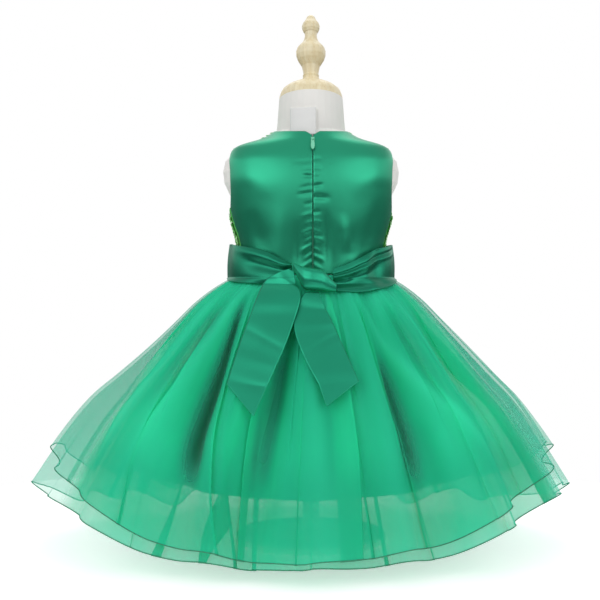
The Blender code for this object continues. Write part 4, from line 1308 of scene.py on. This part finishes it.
def sash_girth(z, angle):
    """The sash's outer half-width and half-depth at a height, over bodice and skirt."""
    high, low = FRONT_BAND[0].top, FRONT_BAND[0].bottom
    share = np.clip((z - low) / (high - low), 0.0, 1.0)
    girth = []
    for top, bottom, skirt in zip(SASH_TOP_GIRTH, SASH_BOTTOM_GIRTH, skirt_girth(z, angle)):
        girth.append(np.maximum(between(bottom, top, share), skirt + SASH_CLOTH + SASH_CLEAR))
    return girth


# Folds of a tie, from the side (0) to the knot (1): its share up the band at each end, how far
# it stands out (or in, below 0) and how wide it is
TieFold = namedtuple("TieFold", "start end from_up to_up height half_width")
TIE_LEFT_FOLDS = listed(
    TieFold,
    (0.34, 1.00, 0.92, 0.80, 0.0024, 0.14),
    (0.50, 1.00, 0.60, 0.46, -0.0048, 0.17),
    (0.40, 1.00, 0.20, 0.12, 0.0008, 0.14),
)
TIE_RIGHT_FOLDS = listed(
    TieFold,
    (0.12, 1.00, 0.90, 0.70, -0.0022, 0.045),
    (0.12, 1.00, 0.80, 0.60, 0.0014, 0.060),
    (0.46, 1.00, 0.50, 0.34, -0.0056, 0.19),
    (0.40, 1.00, 0.10, 0.06, 0.0008, 0.12),
)
TIE_LEAN = 0.0050
# Upright folds of a tie: the angle from the back, how far they stand out, and their half-width
TIE_LEFT_UPRIGHTS = [(60, 0.0012, 7), (74, -0.0010, 6)]
TIE_RIGHT_UPRIGHTS = [(37, 0.0032, 4.5), (48, -0.0022, 4.5), (64, 0.0012, 6)]


def band_grid(table, side, columns, rows, folds, uprights):
    """A fine grid up a tie, with its folds."""
    angle = np.linspace(table[0].angle, table[-1].angle, columns)
    angle, share = spread(angle, np.linspace(0, 1, rows))
    top, bottom, puff = (smooth(table, column)(angle) for column in ("top", "bottom", "puff"))
    z = between(bottom, top, share)
    half_width, half_depth = sash_girth(z, angle)
    out = puff * np.sin(pi * share)
    to_knot = 1 - (angle - table[0].angle) / (table[-1].angle - table[0].angle)
    for fold in folds:
        run = (to_knot - fold.start) / (fold.end - fold.start)
        up = between(fold.from_up, fold.to_up, np.clip(run, 0, 1))
        strength = ease(0.0, 0.5, run)
        if fold.end < 1:
            strength = strength * (1 - ease(0.6, 1.0, run))
        out = out + fold.height * strength * bump(share, up, fold.half_width)
    for upright, height, half_width_round in uprights:
        out = out + height * bump(angle, upright, half_width_round) * np.sin(pi * share) ** 0.5
    out = np.maximum(out + TIE_LEAN * share * ease(0.15, 0.60, to_knot), -0.0006)
    a = np.radians(angle)
    x = side * (half_width + out) * np.sin(a)
    grid = np.stack([x, -(half_depth + out) * np.cos(a), z], -1)
    return grid if side > 0 else grid[:, ::-1]


def front_band_grid(columns, rows):
    """A fine grid up the front of the sash, from tie to tie."""
    reach = 180 - TIE_LEFT[-1].angle - 0.35
    angle, share = spread(np.linspace(reach, -reach, columns), np.linspace(0, 1, rows))
    top = smooth(FRONT_BAND, "top")(np.abs(angle))
    bottom = smooth(FRONT_BAND, "bottom")(np.abs(angle))
    z = between(bottom, top, share)
    half_width, half_depth = sash_girth(z, 180 - np.abs(angle))
    a = np.radians(angle)
    out = FRONT_BAND[0].puff * np.sin(pi * share)
    out = out + 0.0005 * bump(share, 0.55 + 0.12 * np.sin(3 * a), 0.10)
    out = out - 0.0005 * bump(share, 0.30 + 0.08 * np.sin(2 * a + 1), 0.08)
    return np.stack([(half_width + out) * np.sin(a), (half_depth + out) * np.cos(a), z], -1)


def skirt_depth(x, z):
    """How far back the skirt reaches at this place, with room for its flutes."""
    angle = 0.0
    for _ in range(4):
        drop = max(WAIST_Z - z, 0.0) / (WAIST_Z - float(HEM_Z(abs(angle))))
        run = float(RUN(drop))
        half_width, half_depth = skirt_radii(run)
        share = min(max((x - HEM_SHIFT * run) / half_width, -0.95), 0.95)
        angle = degrees(atan2(share, sqrt(1 - share * share)))
    return half_depth * sqrt(1 - share * share) + 1.3 * float(FLUTE_DEPTH(drop))


def support_depth(x, z):
    """The depth of what a tail lies on: the skirt, and above its top the sash."""
    half_width, half_depth = sash_girth(z, 0)
    tied = (half_depth + TIE_LEFT[1].puff) * sqrt(1 - (x / half_width) ** 2)
    below = skirt_depth(x, z)
    return below + max(float(tied) - below, 0.0) * float(ease(0.300, 0.334, z))


# Soft waves across a tail: place along it, height, half-width, and how they slant
Wave = namedtuple("Wave", "at height half_width slant")
TAIL_LEFT_WAVES = listed(
    Wave,
    (0.16, 0.0012, 0.05, 0.10),
    (0.36, 0.0008, 0.03, -0.05),
    (0.52, -0.0007, 0.02, 0.03),
    (0.66, 0.0008, 0.04, -0.02),
    (0.80, -0.0006, 0.03, 0.04),
)
TAIL_RIGHT_WAVES = listed(
    Wave,
    (0.20, -0.0016, 0.06, 0.06),
    (0.38, 0.0012, 0.05, 0.08),
    (0.54, -0.0006, 0.02, -0.03),
    (0.70, 0.0008, 0.05, 0.03),
)


def tail_grid(table, tip, waves, columns, rows):
    """A fine grid over a tail, through the same stations as its solid."""
    stations = table + [tip]
    edges = []
    for i, here in enumerate(stations):
        before = stations[max(i - 1, 0)]
        after = stations[min(i + 1, len(stations) - 1)]
        if here is tip:
            before, after = stations[-3], stations[-2]
        dx, dz = after.x - before.x, after.z - before.z
        length = hypot(dx, dz)
        across = np.array((-dz / length, dx / length))
        middle = np.array((here.x, here.z))
        edges.append((middle - across * here.left, middle + across * here.right, here.stand_off))
    at = np.arange(len(stations), dtype=float)
    lefts = np.array([e[0] for e in edges])
    rights = np.array([e[1] for e in edges])
    offs = np.array([e[2] for e in edges])
    last = len(stations) - 1
    grid = np.zeros((rows + 1, columns + 1, 3))
    for r in range(rows + 1):
        place = last * (r / rows) ** 0.9
        pair = []
        for sides in (lefts, rights):
            pair.append([smooth_through(place, at, sides[:, k], last) for k in (0, 1)])
        off = np.interp(place, at, offs)
        for c in range(columns + 1):
            s = c / columns
            x, z = (between(pair[0][k], pair[1][k], s) for k in (0, 1))
            lift = off
            for wave in waves:
                crest = wave.at + wave.slant * (s - 0.5)
                lift += wave.height * float(bump(r / rows, crest, wave.half_width))
            grid[r, c] = (x, -support_depth(x, z) - lift, z)
    return grid[::-1]


def smooth_through(place, at, values, last):
    """A curve through the stations, straight over the last span, which is the cut to the tip."""
    if place >= last - 1:
        return float(np.interp(place, at, values))
    i = int(place)
    s = place - i
    before = values[max(i - 1, 0)]
    after = values[min(i + 2, last - 1)]
    a, b = values[i], values[i + 1]
    start = 0.5 * (b - before)
    end = 0.5 * (after - a)
    s2, s3 = s * s, s * s * s
    return float(
        (2 * s3 - 3 * s2 + 1) * a + (s3 - 2 * s2 + s) * start + (3 * s2 - 2 * s3) * b + (s3 - s2) * end
    )


# Creases of the knot: where they start round the roll, how they turn along it, depth and width
KNOT_CREASES = [
    (0.75, -0.14, 0.10, 0.40),
    (-0.30, -0.05, 0.07, 0.35),
]


def knot_grid(columns, rows):
    """The knot's roll, creased along its twist."""
    at = range(len(KNOT))
    parts = [Curve(at, [roll[k] for roll in KNOT]) for k in range(5)]
    angle = 2 * pi * np.arange(columns) / columns
    grid = np.zeros((rows + 1, columns, 3))
    for r in range(rows + 1):
        place = (len(KNOT) - 1) * r / rows
        x, y, z, half_height, half_depth = (part(place) for part in parts)
        crease = np.ones(columns)
        for start, slope, depth, half_width in KNOT_CREASES:
            away = (angle - start - slope * place + pi) % (2 * pi) - pi
            crease = crease - depth * bump(away, 0.0, half_width)
        grid[r, :, 0] = x
        grid[r, :, 1] = y - half_depth * crease * np.cos(angle)
        grid[r, :, 2] = z + half_height * crease * np.sin(angle)
    return grid


def make_sash():
    green = satin("green_sash", (0.019, 0.360, 0.206), 0.38)
    # A darker copy of the sash satin for the ties and the front band: painted shade
    tied = satin("green_sash_painted_shade", (0.012, 0.235, 0.134), 0.38)
    left = band_grid(TIE_LEFT, -1, *TIE_GRID, TIE_LEFT_FOLDS, TIE_LEFT_UPRIGHTS)
    right = band_grid(TIE_RIGHT, 1, *TIE_GRID, TIE_RIGHT_FOLDS, TIE_RIGHT_UPRIGHTS)
    front = front_band_grid(*BAND_GRID)
    end_left = tail_grid(TAIL_LEFT, TAIL_LEFT_TIP, TAIL_LEFT_WAVES, *TAIL_LEFT_GRID)
    end_right = tail_grid(TAIL_RIGHT, TAIL_RIGHT_TIP, TAIL_RIGHT_WAVES, *TAIL_RIGHT_GRID)
    roll = knot_grid(*KNOT_GRID)
    round_form = ("stretched", "form_torso")
    on_skirt = ("hung", "tulle_outer")
    for name, node_name, grid, finish, flat, area, (held, under) in (
        ("tie_left", "sash_back_left", left, tied, (0.155, 0.050), 0.0068, round_form),
        ("tie_right", "sash_back_right", right, tied, (0.156, 0.055), 0.0076, round_form),
        ("sash_band", "sash_front", front, tied, (0.295, 0.047), None, round_form),
        ("tail_left", "sash_tail_left", end_left, green, (0.058, 0.215), 0.0098, on_skirt),
        ("tail_right", "sash_tail_right", end_right, green, (0.050, 0.170), 0.0068, on_skirt),
        ("knot", "sash_knot", roll, green, (0.050, 0.068), None, ("folded", "tie_left")),
    ):
        closed = name == "knot"
        piece = cloth(name, grid, SASH_SHELL, finish, node_name, closed)


# The label


def make_label():
    white, tree, main = speckled("white_label", (0.86, 0.86, 0.85), 0.75, 60.0, 0.02)
    woven(tree, main, 0.0005, 0.2, 0.0001)
    columns, rows = LABEL_GRID
    x, share = spread(np.linspace(LABEL_LEFT, LABEL_RIGHT, columns), np.linspace(0, 1, rows))
    edge_z = NECK_Z - BACK_NECK_DROP * (1 - (x / BODICE_WIDTH(NECK_Z)) ** 2)
    curl = LABEL_CURL * share ** 2 * np.cos(2 * pi * (x - LABEL_LEFT) / LABEL_CURL_LENGTH)
    depth = BODICE_DEPTH(edge_z) - LABEL_INSIDE - LABEL_LEAN * share + curl
    y = -depth * np.sqrt(1 - (x / BODICE_WIDTH(edge_z)) ** 2)
    bottom = edge_z - LABEL_TUCK
    z = between(bottom, LABEL_TOP_Z, share)
    grid = np.stack([x, y, z], -1)
    piece = cloth("label", grid, THIN_SHELL, white, "neck_label")


# The stage

FLOOR_RADIUS = 0.68
FLOOR_SIDES = 96
FLOOR_GLOW = 0.42
FILM_WIDTH = 36.0
# Three soft square lamps, all turned to the middle of the dress
AIM = (0, 0, 0.40)
Lamp = namedtuple("Lamp", "name place size power")
LAMPS = listed(
    Lamp,
    ("key", (-1.70, -1.85, 1.50), 2.4, 20.0),
    ("fill", (1.80, -1.80, 1.45), 2.4, 18.0),
    ("top", (0.0, 0.9, 2.1), 1.6, 9.0),
)
# How bright the studio is by height: the sine of the elevation and the share of its strength
STUDIO_STRENGTH = 1.56
STUDIO_BANDS = [
    (-0.10, 0.05),
    (0.04, 0.10),
    (0.18, 0.75),
    (0.36, 0.75),
    (0.55, 0.32),
    (1.00, 0.36),
]


def make_world(scene):
    """A white studio: white to look at, and softer light from below than from above."""
    world = bpy.data.worlds.new("studio")
    world.use_nodes = True
    tree = world.node_tree
    seen = tree.nodes["Background"]
    seen.inputs["Color"].default_value = (1, 1, 1, 1)
    seen.inputs["Strength"].default_value = 1.0
    light = node(tree, "Background", Strength=STUDIO_STRENGTH)
    where = node(tree, "TexCoord")
    way = node(tree, "SeparateXYZ")
    rise = node(tree, "MapRange", From_Min=-1.0, From_Max=1.0)
    bands = ramp(tree, *((0.5 + 0.5 * height, [share] * 3) for height, share in STUDIO_BANDS))
    path = node(tree, "LightPath")
    either = node(tree, "MixShader")
    feed(where, "Generated", way, 0)
    feed(way, "Z", rise, "Value")
    feed(rise, "Result", bands, "Fac")
    feed(bands, "Color", light, "Color")
    feed(path, "Is Camera Ray", either, 0)
    feed(light, 0, either, 1)
    feed(seen, 0, either, 2)
    feed(either, 0, tree.nodes["World Output"], "Surface")
    scene.world = world


def pale_paper():
    """The floor: plain white paper, lit evenly from below as well."""
    glow = {"Emission_Color": (1, 1, 1, 1), "Emission_Strength": FLOOR_GLOW}
    return shader("pale_floor", (0.90, 0.90, 0.90), 0.9, **glow)[0]


def make_stage():
    """The floor, the studio's light and the camera."""
    scene = bpy.context.scene
    floor_mesh = bpy.data.meshes.new("floor")
    rim = [2 * pi * i / FLOOR_SIDES for i in range(FLOOR_SIDES)]
    corners = [(FLOOR_RADIUS * cos(a), FLOOR_RADIUS * sin(a), 0) for a in rim]
    floor_mesh.from_pydata(corners, [], [tuple(range(FLOOR_SIDES))])
    floor = bpy.data.objects.new("floor", floor_mesh)
    scene.collection.objects.link(floor)
    floor_mesh.materials.append(pale_paper())
    make_world(scene)

    for lamp in LAMPS:
        light = bpy.data.lights.new(lamp.name, "AREA")
        light.shape = "SQUARE"
        light.size = lamp.size
        light.energy = lamp.power
        stood = bpy.data.objects.new(lamp.name, light)
        stood.location = lamp.place
        towards = Vector(AIM) - Vector(lamp.place)
        stood.rotation_euler = towards.to_track_quat("-Z", "Y").to_euler()
        scene.collection.objects.link(stood)

    view = bpy.data.cameras.new("camera")
    view.sensor_width = FILM_WIDTH
    view.lens = FILM_WIDTH * CAMERA_DISTANCE / FRAME_AT_DRESS
    camera = bpy.data.objects.new("camera", view)
    camera.location = (CAMERA_X, -CAMERA_DISTANCE, CAMERA_Z)
    camera.rotation_euler = (0.5 * pi, 0, 0)
    scene.collection.objects.link(camera)
    scene.camera = camera

    scene.view_settings.view_transform = "Standard"
    scene.cycles.max_bounces = 12
    scene.cycles.diffuse_bounces = 6
    scene.cycles.transmission_bounces = 8
    scene.cycles.transparent_max_bounces = 48


make_lining()
make_skirt()
make_bodice()
make_zip()
make_sash()
make_label()
finish_hard_parts()
make_stage()
